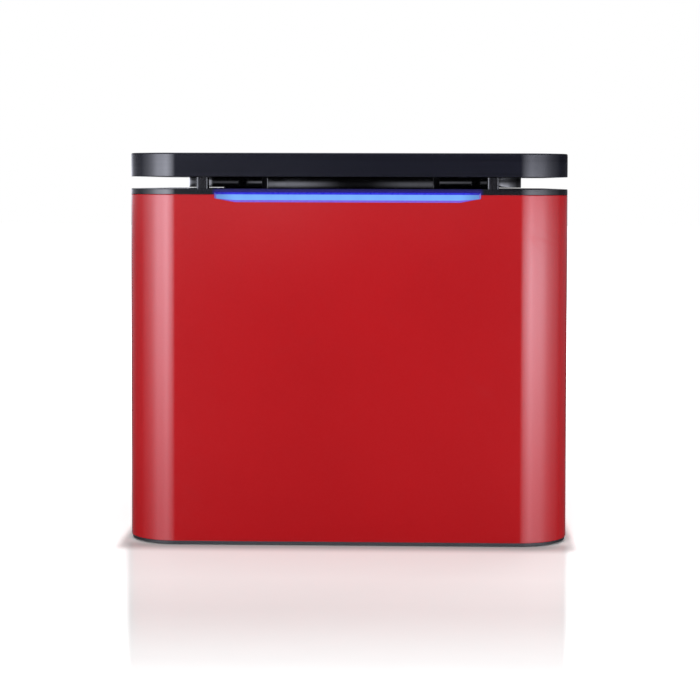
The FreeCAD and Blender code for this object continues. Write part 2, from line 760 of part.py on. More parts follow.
def ring_wire(size_x, size_y, radius, z):
    """Rounded rectangle of four lines and four arcs, centred on the head."""
    hx, hy, k = size_x / 2, size_y / 2, radius * (1 - math.sqrt(0.5))
    edges = []
    corners = [(1, 1), (-1, 1), (-1, -1), (1, -1)]
    for i, (sx, sy) in enumerate(corners):
        side = V(sx * hx, HEAD_Y + sy * (hy - radius), z)
        mid = V(sx * (hx - k), HEAD_Y + sy * (hy - k), z)
        end = V(sx * (hx - radius), HEAD_Y + sy * hy, z)
        first, last = (side, end) if sx * sy > 0 else (end, side)
        edges.append(Part.Arc(first, mid, last).toShape())
        nx, ny = corners[(i + 1) % 4]
        side2 = V(nx * hx, HEAD_Y + ny * (hy - radius), z)
        end2 = V(nx * (hx - radius), HEAD_Y + ny * hy, z)
        following = side2 if nx * ny > 0 else end2
        edges.append(Part.LineSegment(last, following).toShape())
    return Part.Wire(edges)


def well_bezel():
    """Moulded funnel from the deck opening down to the top of the block, with a flange under the deck."""
    end_x, end_y = BLOCK_X + 2 * FUNNEL_CLEAR, BLOCK_Y + 2 * FUNNEL_CLEAR
    top, low = Z_SHELL_TOP, Z_BLOCK_TOP - FUNNEL_CLEAR
    outer = Part.makeLoft(
        [
            ring_wire(OPENING_X + 2 * FUNNEL_T, OPENING_Y + 2 * FUNNEL_T, OPENING_R + FUNNEL_T, top),
            ring_wire(end_x + 2 * FUNNEL_T, end_y + 2 * FUNNEL_T, FUNNEL_END_R + FUNNEL_T, low),
        ],
        True,
        True,
    )
    mouth, end = ring_wire(OPENING_X, OPENING_Y, OPENING_R, top), ring_wire(end_x, end_y, FUNNEL_END_R, low)
    inner = Part.makeLoft([mouth, end], True, True)
    flange = rounded_block(about(0, SINK_X), about(HEAD_Y, SINK_Y), (Z_FUNNEL_FLANGE, top), OPENING_R)
    holes = upright_holes(sink_post_places(), Z_FUNNEL_FLANGE - 1, FUNNEL_FLANGE_T + 2)
    return fused([flange, outer]).cut([inner] + holes)


def guide_blocks():
    """Two bars on the block's foot that hold the light guides."""
    bars = []
    for side, columns in guide_rows():
        y = sorted((HEAD_Y + side * (Y_GUIDE_IN + FIT), HEAD_Y + side * Y_GUIDE_OUT))
        bar = block(about(0, GUIDE_BLOCK_X), y, (Z_BLOCK_FOOT, Z_BLOCK_FOOT + GUIDE_BLOCK_H))
        bore, length = GUIDE_R + GUIDE_BORE_FIT, y[1] - y[0] + 2
        bars.append(bar.cut([rod(bore, V(gx, y[0] - 1, Z_GUIDE), Y_AXIS, length) for gx in columns]))
    return group(bars)


def light_guides():
    """One clear rod for each well, from the block out to its photodiode."""
    rods = []
    for side, columns in guide_rows():
        start = HEAD_Y + side * (Y_GUIDE_IN - GUIDE_IN_BLOCK)
        length = Y_GUIDE_OUT - Y_GUIDE_IN + GUIDE_IN_BLOCK
        rods += [rod(GUIDE_R, V(gx, start, Z_GUIDE), V(0, side, 0), length) for gx in columns]
    return group(rods)


def detector_boards():
    """Two upright boards, each with a photodiode facing every guide of its row."""
    boards = []
    for side, columns in guide_rows():
        near = Y_GUIDE_OUT + DIODE[1]
        y = sorted((HEAD_Y + side * near, HEAD_Y + side * (near + BOARD_T)))
        z = (Z_BLOCK_FOOT, Z_BLOCK_FOOT + GUIDE_BLOCK_H)
        card = block(about(0, GUIDE_BLOCK_X), y, z)
        dy = sorted((HEAD_Y + side * Y_GUIDE_OUT, HEAD_Y + side * near))
        diodes = [block(about(gx, DIODE[0]), dy, about(Z_GUIDE, DIODE[2])) for gx in columns]
        boards.append(fused([card] + diodes))
    return group(boards)


# Fan, hood and rear panel


def exhaust_duct():
    """Hood that gathers the air from the fins into the fan."""
    mouth_y, fan_y = Y_SINK_BACK + DUCT_MOUTH, Y_FAN - DUCT_MOUTH

    def section(y, size_x, z, inset):
        """Upright rectangle at one depth."""
        hx, low, high = size_x / 2 - inset, z[0] + inset, z[1] - inset
        points = [V(-hx, y, low), V(hx, y, low), V(hx, y, high), V(-hx, y, high)]
        return Part.makePolygon(points + [points[0]])

    sink_z = (Z_FINS, Z_SINK)
    fan_z = about(FAN_Z, FAN_SIZE)

    def body(inset, extra):
        """Mouth, taper and fan end in one, smaller all round by an inset."""
        mouth_x, mouth_z = about(0, SINK_X - 2 * inset), (sink_z[0] + inset, sink_z[1] - inset)
        mouth = block(mouth_x, (Y_SINK_BACK - extra, mouth_y), mouth_z)
        stations = [section(mouth_y, SINK_X, sink_z, inset), section(fan_y, FAN_SIZE, fan_z, inset)]
        taper = Part.makeLoft(stations, True, True)
        half = FAN_SIZE / 2 - inset
        end = block((-half, half), (fan_y, Y_FAN + extra), (fan_z[0] + inset, fan_z[1] - inset))
        return mouth.fuse([taper, end])

    return body(0, 0).cut(body(DUCT_T, 1.0)).removeSplitter()


def fan_frame():
    """Square fan frame with its bore, mounting holes, motor seat and arms at the back."""
    frame = rounded_block(about(0, FAN_SIZE), (Y_FAN, Y_PANEL), about(FAN_Z, FAN_SIZE), FAN_CORNER_R, Y_AXIS)
    frame = frame.cut(rod(FAN_BORE_R, V(0, Y_FAN - 1, FAN_Z), Y_AXIS, FAN_T + 2))
    seat_y = Y_PANEL - FAN_MOTOR_T
    motor = rod(FAN_MOTOR_R, V(0, seat_y, FAN_Z), Y_AXIS, FAN_MOTOR_T)
    shaft = rod(FAN_SHAFT_R, V(0, seat_y - FAN_HUB_T / 2, FAN_Z), Y_AXIS, FAN_HUB_T / 2 + 1)
    arms = []
    for i in range(FAN_ARMS):
        arm = block(about(0, FAN_ARM_W), (seat_y, Y_PANEL), (FAN_Z, FAN_Z + FAN_BORE_R + 1))
        arm.rotate(V(0, 0, FAN_Z), Y_AXIS, 45 + 360 * i / FAN_ARMS)
        arms.append(arm)
    return fused([frame, motor, shaft] + arms)


def fan_rotor():
    """Hub and cambered blades, bored for the motor's shaft."""
    back = Y_PANEL - FAN_MOTOR_T - FAN_END_GAP
    front = back - FAN_HUB_T
    hub = rod(FAN_HUB_R, V(0, front, FAN_Z), Y_AXIS, FAN_HUB_T)
    hub = hub.makeChamfer(1.5, [e for e in hub.Edges if abs(e.BoundBox.YMax - front) < 1e-4])
    sweep = rod(FAN_TIP_R, V(0, front, FAN_Z), Y_AXIS, FAN_HUB_T)
    half, camber = FAN_BLADE_CHORD / 2, FAN_BLADE_CHORD / 7
    middle = (front + back) / 2
    inner_z = FAN_HUB_R - 3
    upper = Part.Arc(V(-half, 0, 0), V(0, camber, 0), V(half, 0, 0)).toShape()
    lower = upper.copy()
    lower.translate(V(0, -FAN_BLADE_T, 0))
    ends = [
        Part.LineSegment(V(half, 0, 0), V(half, -FAN_BLADE_T, 0)).toShape(),
        Part.LineSegment(V(-half, -FAN_BLADE_T, 0), V(-half, 0, 0)).toShape(),
    ]
    section = Part.Face(Part.Wire([upper, ends[0], lower, ends[1]]))
    blade = section.extrude(V(0, 0, FAN_TIP_R - inner_z + 4))
    blade.rotate(V(0, 0, 0), Z_AXIS, FAN_BLADE_ANGLE)
    blade.translate(V(0, middle, FAN_Z + inner_z))
    blade = blade.common(sweep)
    blades = []
    for i in range(FAN_BLADES):
        copy = blade.copy()
        copy.rotate(V(0, 0, FAN_Z), Y_AXIS, 360 * i / FAN_BLADES)
        blades.append(copy)
    rotor = fused([hub] + blades)
    return rotor.cut(rod(FAN_SHAFT_R + PIN_FIT, V(0, back - FAN_HUB_T / 2 - 1, FAN_Z), Y_AXIS, FAN_HUB_T))


def grille_slots():
    """Arc slots in rings round the fan's axis, left joined by four spokes."""
    y0, depth = Y_PANEL - 1, PANEL_T + 2
    spokes = []
    for angle in (45, 135):
        spoke = block(about(0, GRILLE_SPOKE), (y0, y0 + depth), about(FAN_Z, 3 * FAN_SIZE))
        spoke.rotate(V(0, 0, FAN_Z), Y_AXIS, angle)
        spokes.append(spoke)
    slots = []
    for i in range(GRILLE_RINGS):
        inner = GRILLE_FIRST_R + i * (GRILLE_SLOT + GRILLE_BAR)
        centre = V(0, y0, FAN_Z)
        ring = rod(inner + GRILLE_SLOT, centre, Y_AXIS, depth).cut(rod(inner, centre, Y_AXIS, depth))
        slots += ring.cut(spokes).Solids
    return slots


def port_cut(px, size, z0):
    """Opening in the rear panel for one socket."""
    x = about(px, size[0] + 2 * PORT_FIT)
    return block(x, (Y_PANEL - 1, Y_BACK), (z0 - PORT_FIT, z0 + size[2] + PORT_FIT))


def rear_panel():
    """Black sheet behind the rear window, cut for the fan, the inlet, the switch and the sockets."""
    x, y = about(0, WINDOW_X + 2 * PANEL_LAP), (Y_PANEL, Y_BACK_INSIDE)
    z = (WINDOW_LOW - PANEL_LAP / 2, WINDOW_HIGH + PANEL_LAP)
    panel = rounded_block(x, y, z, WINDOW_CORNER_R, Y_AXIS)
    through = (Y_PANEL - 1, Y_BACK)
    cuts = grille_slots()
    for px, pz, size in ((INLET_X, INLET_Z, INLET_BODY), (SWITCH_X, SWITCH_Z, SWITCH_BODY)):
        cuts.append(block(about(px, size[0] + 2 * FIT), through, about(pz, size[1] + 2 * FIT)))
    z_port = Z_BOARD + BOARD_T
    cuts += [port_cut(JACK_X, JACK, z_port), port_cut(USB_X, USB, z_port)]
    for px, pz in panel_screw_places():
        cuts.append(rod(PANEL_SCREW_R + SCREW_FIT, V(px, Y_PANEL - 1, pz), Y_AXIS, PANEL_T + 2))
    return panel.cut(cuts)


def panel_screws():
    """Countersunk screws through the sleeve into the rear panel."""
    screws = []
    for px, pz in panel_screw_places():
        place = V(px, Y_BACK, pz)
        length = SHELL_WALL + PANEL_T + 2
        screws.append(csk_screw(place, V(0, -1, 0), length, PANEL_SCREW_HEAD_R, PANEL_SCREW_R))
    return group(screws)


def keyed_block(px, pz, size_x, size_z, y, chamfer):
    """Block along Y whose two upper edges are cut off, as on a power connector."""
    shape = block(about(px, size_x), y, about(pz, size_z))
    top = edges_along(shape, Y_AXIS, lambda p: p.z > pz)
    return shape.makeChamfer(chamfer, top)


def mains_inlet():
    """Power inlet: flange on the panel, body behind it and the keyed cavity for the plug."""
    y_flange = (Y_BACK_INSIDE, Y_BACK_INSIDE + INLET_FLANGE[2])
    flange_x, flange_z = about(INLET_X, INLET_FLANGE[0]), about(INLET_Z, INLET_FLANGE[1])
    flange = rounded_block(flange_x, y_flange, flange_z, INLET_FLANGE_R, Y_AXIS)
    body_y = (Y_BACK_INSIDE - INLET_BODY[2], Y_BACK_INSIDE)
    body = block(about(INLET_X, INLET_BODY[0]), body_y, about(INLET_Z, INLET_BODY[1]))
    cavity_y = (y_flange[1] - INLET_CAVITY[2], y_flange[1] + 1)
    cavity = keyed_block(INLET_X, INLET_Z, INLET_CAVITY[0], INLET_CAVITY[1], cavity_y, INLET_CHAMFER)
    return fused([flange, body]).cut(cavity)


def inlet_pins():
    """Three flat contacts that stand in the inlet's cavity."""
    floor = Y_BACK_INSIDE + INLET_FLANGE[2] - INLET_CAVITY[2]
    pins = []
    spread, rise = INLET_PIN_SPREAD, INLET_PIN_RISE
    for dx, dz in ((-spread, -rise), (0, rise), (spread, -rise)):
        x = about(INLET_X + dx, INLET_PIN[2])
        pins.append(block(x, (floor, floor + INLET_PIN[1]), about(INLET_Z + dz, INLET_PIN[0])))
    return group(pins)


def switch_frame():
    """Rocker switch housing: flange, body and the well in which the rocker tilts."""
    y_flange = (Y_BACK_INSIDE, Y_BACK_INSIDE + SWITCH_FLANGE[2])
    flange_x, flange_z = about(SWITCH_X, SWITCH_FLANGE[0]), about(SWITCH_Z, SWITCH_FLANGE[1])
    flange = rounded_block(flange_x, y_flange, flange_z, SWITCH_FLANGE_R, Y_AXIS)
    body_y = (Y_BACK_INSIDE - SWITCH_BODY[2], Y_BACK_INSIDE)
    body = block(about(SWITCH_X, SWITCH_BODY[0]), body_y, about(SWITCH_Z, SWITCH_BODY[1]))
    frame = fused([flange, body])
    gap = ROCKER_SLOT_GAP
    floor = y_flange[1] - ROCKER_SINK - ROCKER_DEPTH - 2 * TRUNNION_R
    well_z = about(SWITCH_Z, ROCKER_Z + 2 * gap)
    well = block(about(SWITCH_X, ROCKER_X + gap), (floor, y_flange[1] + 1), well_z)
    length = ROCKER_X + 2 * TRUNNION_REACH + gap
    pivot = rod(TRUNNION_R + PIN_FIT, V(SWITCH_X - length / 2, Y_ROCKER, SWITCH_Z), X_AXIS, length)
    return frame.cut([well, pivot])


Y_ROCKER = Y_BACK_INSIDE + SWITCH_FLANGE[2] - ROCKER_SINK - ROCKER_DEPTH / 2


def power_rocker():
    """Rocker with a shallow V face and two trunnions, shown tilted to its off side."""
    half = ROCKER_Z / 2
    face = ROCKER_DEPTH / 2
    rise = half * math.tan(math.radians(ROCKER_ANGLE))
    inner = half * 0.55
    outline = [(face, 0), (face + rise, half), (0, half), (-face, inner)]
    outline += [(dy, -dz) for dy, dz in reversed(outline[1:])]
    points = [V(SWITCH_X - ROCKER_X / 2, Y_ROCKER + dy, SWITCH_Z + dz) for dy, dz in outline]
    rocker = Part.Face(Part.makePolygon(points + [points[0]])).extrude(V(ROCKER_X, 0, 0))
    length = ROCKER_X + 2 * TRUNNION_REACH
    pivot = rod(TRUNNION_R, V(SWITCH_X - length / 2, Y_ROCKER, SWITCH_Z), X_AXIS, length)
    rocker = fused([rocker, pivot])
    rocker.rotate(V(0, Y_ROCKER, SWITCH_Z), X_AXIS, -ROCKER_ANGLE)
    return rocker


# Boards and power supply on the base


def board_corners(x, y):
    """Standoff places near the corners of a board."""
    half_x, half_y = (x[1] - x[0]) / 2 - BOARD_EDGE, (y[1] - y[0]) / 2 - BOARD_EDGE
    return [(sum(x) / 2 + dx, sum(y) / 2 + dy) for dx, dy in four(half_x, half_y)]


def board_standoffs():
    """Posts under the control board and the computer board."""
    places = board_corners(MAIN_X, MAIN_Y) + board_corners(COMPUTER_X, COMPUTER_Y)
    return group([rod(STANDOFF_R, V(px, py, Z_FLOOR), Z_AXIS, STANDOFF_H) for px, py in places])


def main_board():
    """Control board."""
    return rounded_block(MAIN_X, MAIN_Y, (Z_BOARD, Z_BOARD + BOARD_T), 3.0)


def board_row(count, row):
    """Centres of one row of parts, spread evenly over the control board; the rows run from the front."""
    pitch = (MAIN_X[1] - MAIN_X[0]) / count
    y = MAIN_Y[0] + (row + 0.5) * (MAIN_Y[1] - MAIN_Y[0]) / 4
    return [(MAIN_X[0] + (i + 0.5) * pitch, y) for i in range(count)]


def board_parts():
    """Parts on the control board: storage capacitors, driver coolers, chips and plug headers."""
    z = Z_BOARD + BOARD_T
    parts = [rod(CAPACITOR[0], V(px, py, z), Z_AXIS, CAPACITOR[1]) for px, py in board_row(3, 0)]
    pitch = (COOLER[0] - FIN_T) / (COOLER_FINS - 1)
    for px, py in board_row(2, 1):
        y = about(py, COOLER[1])
        pieces = [block(about(px, COOLER[0]), y, (z, z + 2 * FIN_T))]
        for k in range(COOLER_FINS):
            fin_x = about(px + pitch * (k - (COOLER_FINS - 1) / 2), FIN_T)
            pieces.append(block(fin_x, y, (z, z + COOLER[2])))
        parts.append(fused(pieces))
    for row, size in ((2, CHIP), (3, HEADER)):
        for px, py in board_row(3, row):
            parts.append(block(about(px, size[0]), about(py, size[1]), (z, z + size[2])))
    return group(parts)


def computer_board():
    """Small computer that stands behind the rear sockets."""
    top = Z_BOARD + BOARD_T
    card = rounded_block(COMPUTER_X, COMPUTER_Y, (Z_BOARD, top), 3.0)
    x = about(sum(COMPUTER_X) / 2, PROCESSOR[0])
    y = about(COMPUTER_Y[0] + PROCESSOR[1], PROCESSOR[1])
    return fused([card, block(x, y, (top, top + PROCESSOR[2]))])


def socket_shell(px, size, mouth):
    """Socket on the computer board, open at the rear, with a tongue or floor inside."""
    z0 = Z_BOARD + BOARD_T
    y = (Y_BACK_INSIDE - size[1], Y_BACK_INSIDE)
    shell = block(about(px, size[0]), y, (z0, z0 + size[2]))
    cavity_z = (z0 + PORT_WALL, z0 + size[2] - PORT_WALL)
    cavity = block(about(px, size[0] - 2 * PORT_WALL), (y[1] - mouth, y[1] + 1), cavity_z)
    return shell.cut(cavity)


def rear_ports():
    """Network and USB sockets at the rear."""
    return group([socket_shell(JACK_X, JACK, 12.0), socket_shell(USB_X, USB, 11.0)])


def power_supply():
    """Enclosed supply: sheet case with vent slots in its top."""
    z = (Z_FLOOR, Z_FLOOR + SUPPLY_H)
    case = block(SUPPLY_X, SUPPLY_Y, z)
    t = SUPPLY_SHEET
    inside = block(
        (SUPPLY_X[0] + t, SUPPLY_X[1] - t), (SUPPLY_Y[0] + t, SUPPLY_Y[1] - t), (z[0] + t, z[1] - t)
    )
    case = case.cut(inside)
    length = SUPPLY_X[1] - SUPPLY_X[0]
    pitch = (SUPPLY_Y[1] - SUPPLY_Y[0]) / (SUPPLY_SLOTS + 1)
    middle = (SUPPLY_X[0] + SUPPLY_X[1]) / 2
    slots = []
    for i in range(SUPPLY_SLOTS):
        y = about(SUPPLY_Y[0] + (i + 1) * pitch, pitch / 3)
        slots.append(block(about(middle, length * 0.6), y, (z[1] - t - 1, z[1] + 1)))
    return case.cut(slots)


def supply_terminals():
    """Terminal strip on the supply's rear end."""
    x = sum(SUPPLY_X) / 2
    y = (SUPPLY_Y[1], SUPPLY_Y[1] + TERMINAL_STRIP[1])
    z = (Z_FLOOR, Z_FLOOR + TERMINAL_STRIP[2])
    strip = block(about(x, TERMINAL_STRIP[0]), y, z)
    pitch = TERMINAL_BAY + TERMINAL_WALL
    bays = []
    for i in range(TERMINAL_COUNT):
        bay_x = about(x + pitch * (i - (TERMINAL_COUNT - 1) / 2), TERMINAL_BAY)
        bays.append(block(bay_x, (y[0] + TERMINAL_WALL, y[1] + 1), (sum(z) / 2, z[1] + 1)))
    return strip.cut(bays)


# Hinges


def hinge_segments():
    """Spans of the knuckles along one hinge: the outer two are fixed and the middle one turns."""
    low = HINGE_X - HINGE_LENGTH / 2
    third = HINGE_LENGTH / 3
    gap = HINGE_SIDE_GAP / 2
    fixed = [(low, low + third - gap), (low + 2 * third + gap, low + HINGE_LENGTH)]
    moving = [(low + third + gap, low + 2 * third - gap)]
    return fixed, moving


def hinge_half(own, other, leaf_z, bore_r):
    """One half of a hinge: a leaf with its own knuckles and notches for the other half's."""
    x = about(HINGE_X, HINGE_LENGTH)
    leaf = block(x, (Y_HINGE - HINGE_LEAF_DEPTH, Y_HINGE), leaf_z)
    leaf = leaf.makeFillet(LEAF_CORNER_R, edges_along(leaf, Z_AXIS, lambda p: p.y < HINGE_SCREW_Y))
    clear = KNUCKLE_R + 2 * HINGE_SIDE_GAP
    notches = []
    for x0, x1 in other:
        ends = (x0 - HINGE_SIDE_GAP, x1 + HINGE_SIDE_GAP)
        notches.append(block(ends, (Y_HINGE - clear, Y_HINGE + clear), (leaf_z[0] - 1, leaf_z[1] + 1)))
    leaf = leaf.cut(notches)
    knuckles = [rod(KNUCKLE_R, V(x0, Y_HINGE, Z_HINGE), X_AXIS, x1 - x0) for x0, x1 in own]
    half = fused([leaf] + knuckles)
    cuts = [rod(bore_r, V(x[0] - 1, Y_HINGE, Z_HINGE), X_AXIS, HINGE_LENGTH + 2)]
    outward = Z_AXIS if leaf_z[0] < Z_HINGE else V(0, 0, -1)
    seat = leaf_z[1] if leaf_z[0] < Z_HINGE else leaf_z[0]
    for hx, hy in hinge_screw_places()[2:]:
        cuts.append(rod(SCREW_R + SCREW_FIT, V(hx, hy, seat) - outward * 3, outward, 4))
    return half.cut(cuts)


def deck_hinges():
    """Fixed halves of the two hinges, on the deck."""
    fixed, moving = hinge_segments()
    right = hinge_half(fixed, moving, (Z_DECK, Z_DECK + HINGE_LEAF_T), HINGE_PIN_R + 0.01)
    return group([mirrored(right), right])


def lid_hinges():
    """Moving halves of the two hinges, under the lid."""
    fixed, moving = hinge_segments()
    right = hinge_half(moving, fixed, (Z_LID - HINGE_LEAF_T, Z_LID), HINGE_PIN_R + PIN_FIT)
    return group([mirrored(right), right])


def hinge_pins():
    """A pin through each hinge."""
    low = HINGE_X - HINGE_LENGTH / 2
    pin = rod(HINGE_PIN_R, V(low - 0.5, Y_HINGE, Z_HINGE), X_AXIS, HINGE_LENGTH + 1)
    return group([mirrored(pin), pin])


def low_screw(place, outward):
    """Low-head screw whose head lies on a face that looks along outward."""
    head = rod(SCREW_HEAD_R - 0.4, place, outward, SCREW_HEAD_H * 0.6)
    shank = rod(SCREW_R, place - outward * HINGE_SCREW_LENGTH, outward, HINGE_SCREW_LENGTH)
    return fused([head, shank])


def deck_hinge_screws():
    """Screws through the fixed leaves."""
    top = Z_DECK + HINGE_LEAF_T
    return group([low_screw(V(hx, hy, top), Z_AXIS) for hx, hy in hinge_screw_places()])


def lid_hinge_screws():
    """Screws through the moving leaves."""
    low = Z_LID - HINGE_LEAF_T
    return group([low_screw(V(hx, hy, low), V(0, 0, -1)) for hx, hy in hinge_screw_places()])


# Lid


def lid_cover():
    """Lid slab: bevelled outside, hollow from below, with a boss in each corner."""
    outside = slab(0, (Z_LID, Z_TOP))
    outside = outside.makeChamfer(LID_BEVEL, rim_edges(outside, Z_TOP))
    outside = outside.makeChamfer(DECK_BEVEL, rim_edges(outside, Z_LID))
    inside = slab(LID_WALL, (Z_LID - 1, Z_TOP - LID_TOP_T))
    height = Z_TOP - LID_TOP_T / 2 - Z_LID_INSIDE
    bosses = [rod(BOSS_R, V(bx, by, Z_LID_INSIDE), Z_AXIS, height) for bx, by in boss_centres()]
    cover = fused([outside.cut(inside)] + bosses)
    depth = Z_TOP - LID_TOP_T - Z_LID_INSIDE
    return cover.cut(upright_holes(boss_centres(), Z_LID_INSIDE - 1, depth + 1))


def guide_pin_places():
    """Axes of the four pins that carry the heated plate."""
    return [(px, HEAD_Y + py) for px, py in four(GUIDE_PIN_X, GUIDE_PIN_Y)]


def lid_base():
    """Plate that closes the lid from below, open over the wells and cut for pins, discs and screws."""
    plate = slab(LID_WALL + FIT, (Z_LID, Z_LID_INSIDE))
    through = (Z_LID - 1, Z_LID_INSIDE + 1)
    cuts = [rounded_block(about(0, MAT_X + 4), about(HEAD_Y, MAT_Y - 4), through, 2.0)]
    cuts += [csk_hole(V(bx, by, Z_LID), Z_AXIS, 3) for bx, by in boss_centres()]
    length = through[1] - through[0]
    cuts += upright_holes(hinge_screw_places(), through[0], length)
    cuts += upright_holes(guide_pin_places(), through[0], length, GUIDE_PIN_R + PIN_FIT)
    discs = [(magnet_place(s).x, magnet_place(s).y) for s in (-1, 1)]
    return plate.cut(cuts + upright_holes(discs, Z_LID - 1, CATCH_H + 1, CATCH_R + PIN_FIT))


def lid_screws():
    """Four countersunk screws through the lid's base plate into the corner bosses."""
    return group([csk_screw(V(bx, by, Z_LID), Z_AXIS, LID_SCREW_LENGTH) for bx, by in boss_centres()])


def catch_discs():
    """Steel discs in the lid that the magnets hold."""
    return group([rod(CATCH_R, magnet_place(s) + V(0, 0, Z_LID), Z_AXIS, CATCH_H) for s in (-1, 1)])


def hinge_housing():
    """Low tray under the rear half of the lid, with large front corners."""
    x = about(0, HOUSING_X)
    y = (HOUSING_FRONT, HOUSING_BACK)
    tray = block(x, y, (Z_DECK + HOUSING_GAP, Z_LID))
    tray = tray.makeFillet(HOUSING_R, edges_along(tray, Z_AXIS, lambda p: p.y < HOUSING_BACK - 1))
    tray = tray.makeFillet(HOUSING_BACK_R, edges_along(tray, Z_AXIS, lambda p: p.y > HOUSING_BACK - 1))
    t = HOUSING_WALL
    pocket = block((x[0] + t, x[1] - t), (y[0] + t, y[1] - t), (Z_DECK + HOUSING_GAP + t, Z_LID + 1))
    front = edges_along(pocket, Z_AXIS, lambda p: p.y < HOUSING_BACK - t - 1)
    return tray.cut(pocket.makeFillet(HOUSING_R - t, front))


def heater_frame():
    """Frame that stands down from the lid round the heated plate."""
    z = (Z_LID - FRAME_DROP, Z_LID)
    outer = rounded_block(about(0, FRAME_X), about(HEAD_Y, FRAME_Y), z, FRAME_R)
    x, y = about(0, FRAME_X - 2 * FRAME_WALL), about(HEAD_Y, FRAME_Y - 2 * FRAME_WALL)
    return outer.cut(rounded_block(x, y, (z[0] - 1, z[1] + 1), FRAME_R - FRAME_WALL))


def lens_plate():
    """Clear plate over the opening in the lid's base plate."""
    return rounded_block(about(0, LENS_X), about(HEAD_Y, LENS_Y), (Z_LID_INSIDE, Z_LID_INSIDE + LENS_T), 2.0)


Z_SOURCE = Z_LID_INSIDE + SOURCE_RISE


def excitation_board():
    """Board over the lens plate, on four spacers."""
    card = rounded_block(about(0, SOURCE_X), about(HEAD_Y, SOURCE_Y), (Z_SOURCE, Z_SOURCE + BOARD_T), 2.0)
    spacers = []
    for sx, sy in four(GUIDE_PIN_X - 0.5, SOURCE_Y / 2 - 0.9):
        spacers.append(block(about(sx, 3), (HEAD_Y + sy - 0.8, HEAD_Y + sy + 0.8), (Z_LID_INSIDE, Z_SOURCE)))
    return fused([card] + spacers)


def excitation_leds():
    """A lamp over each well."""
    z = (Z_SOURCE - SOURCE_LED[2], Z_SOURCE)
    return group([block(about(wx, SOURCE_LED[0]), about(wy, SOURCE_LED[1]), z) for wx, wy in well_places()])


def guide_pins():
    """Shoulder pins that hang from the lid and carry the heated plate on their heads."""
    head_top = Z_PLATE_TOP - GUIDE_WEB
    pins = []
    for px, py in guide_pin_places():
        place = V(px, py, head_top - GUIDE_HEAD_T)
        head = rod(GUIDE_HEAD_R, place, Z_AXIS, GUIDE_HEAD_T)
        pins.append(fused([head, rod(GUIDE_PIN_R, place, Z_AXIS, Z_LID_INSIDE - place.z)]))
    return group(pins)


def plate_springs():
    """Rectangular-wire springs round the pins, between the lid and the heated plate."""
    half = SPRING_WIRE / 2
    low, high = Z_PLATE_TOP + PIN_FIT, Z_LID - PIN_FIT
    rise = high - low - SPRING_WIRE
    springs = []
    for px, py in guide_pin_places():
        path = Part.makeHelix(rise / SPRING_TURNS, rise, SPRING_R)
        corners = [(-half, -half), (half, -half), (half, half), (-half, half)]
        points = [V(SPRING_R + dx, 0, dz) for dx, dz in corners]
        profile = Part.makePolygon(points + [points[0]])
        spring = Part.Wire(path.Edges).makePipeShell([profile], True, True)
        spring.translate(V(px, py, low + half))
        springs.append(spring)
    return group(springs)


# Heated plate


def heated_plate():
    """Plate that presses on the tube caps, with a window over each well and stepped holes for the pins."""
    z = (Z_PLATE, Z_PLATE_TOP)
    plate = rounded_block(about(0, PLATE_X), about(HEAD_Y, PLATE_Y), z, PLATE_R)
    cuts = upright_holes(well_places(), Z_PLATE - 1, PLATE_T + 2, WINDOW_R)
    cuts += upright_holes(guide_pin_places(), Z_PLATE - 1, PLATE_T + 2, GUIDE_PIN_R + SLIDE_FIT)
    depth = PLATE_T - GUIDE_WEB + PIN_FIT
    cuts += upright_holes(guide_pin_places(), Z_PLATE - 1, depth + 1, GUIDE_HEAD_R + 2 * SLIDE_FIT)
    return plate.cut(cuts)


def heater_mat():
    """Thin heating mat on the plate, with a hole over each window."""
    mat = rounded_block(about(0, MAT_X), about(HEAD_Y, MAT_Y), (Z_PLATE_TOP, Z_PLATE_TOP + MAT_T), 1.5)
    return mat.cut(upright_holes(well_places(), Z_PLATE_TOP - 1, MAT_T + 2, WINDOW_R))


PARTS = {
    "outer_shell": outer_shell,
    "base_plate": base_plate,
    "feet": feet,
    "base_screws": base_screws,
    "top_deck": top_deck,
    "deck_screws": deck_screws,
    "lid_rests": lid_rests,
    "rest_magnets": rest_magnets,
    "light_bar": light_bar,
    "light_board": light_board,
    "bar_leds": bar_leds,
    "light_bracket": light_bracket,
    "sample_block": sample_block,
    "block_screws": block_screws,
    "thermal_modules": thermal_modules,
    "heat_sink": heat_sink,
    "sink_posts": sink_posts,
    "well_bezel": well_bezel,
    "guide_blocks": guide_blocks,
    "light_guides": light_guides,
    "detector_boards": detector_boards,
    "exhaust_duct": exhaust_duct,
    "fan_frame": fan_frame,
    "fan_rotor": fan_rotor,
    "rear_panel": rear_panel,
    "panel_screws": panel_screws,
    "mains_inlet": mains_inlet,
    "inlet_pins": inlet_pins,
    "switch_frame": switch_frame,
    "power_rocker": power_rocker,
    "board_standoffs": board_standoffs,
    "main_board": main_board,
    "board_parts": board_parts,
    "computer_board": computer_board,
    "rear_ports": rear_ports,
    "power_supply": power_supply,
    "supply_terminals": supply_terminals,
    "deck_hinges": deck_hinges,
    "hinge_pins": hinge_pins,
    "deck_hinge_screws": deck_hinge_screws,
    "lid_hinges": lid_hinges,
    "lid_hinge_screws": lid_hinge_screws,
    "lid_cover": lid_cover,
    "lid_base": lid_base,
    "lid_screws": lid_screws,
    "catch_discs": catch_discs,
    "hinge_housing": hinge_housing,
    "heater_frame": heater_frame,
    "lens_plate": lens_plate,
    "excitation_board": excitation_board,
    "excitation_leds": excitation_leds,
    "guide_pins": guide_pins,
    "plate_springs": plate_springs,
    "heated_plate": heated_plate,
    "heater_mat": heater_mat,
}


def main():
    """Write one file for each named piece."""
    os.makedirs("parts", exist_ok=True)
    for name, make in PARTS.items():
        make().exportStep(os.path.join("parts", name + ".step"))


main()
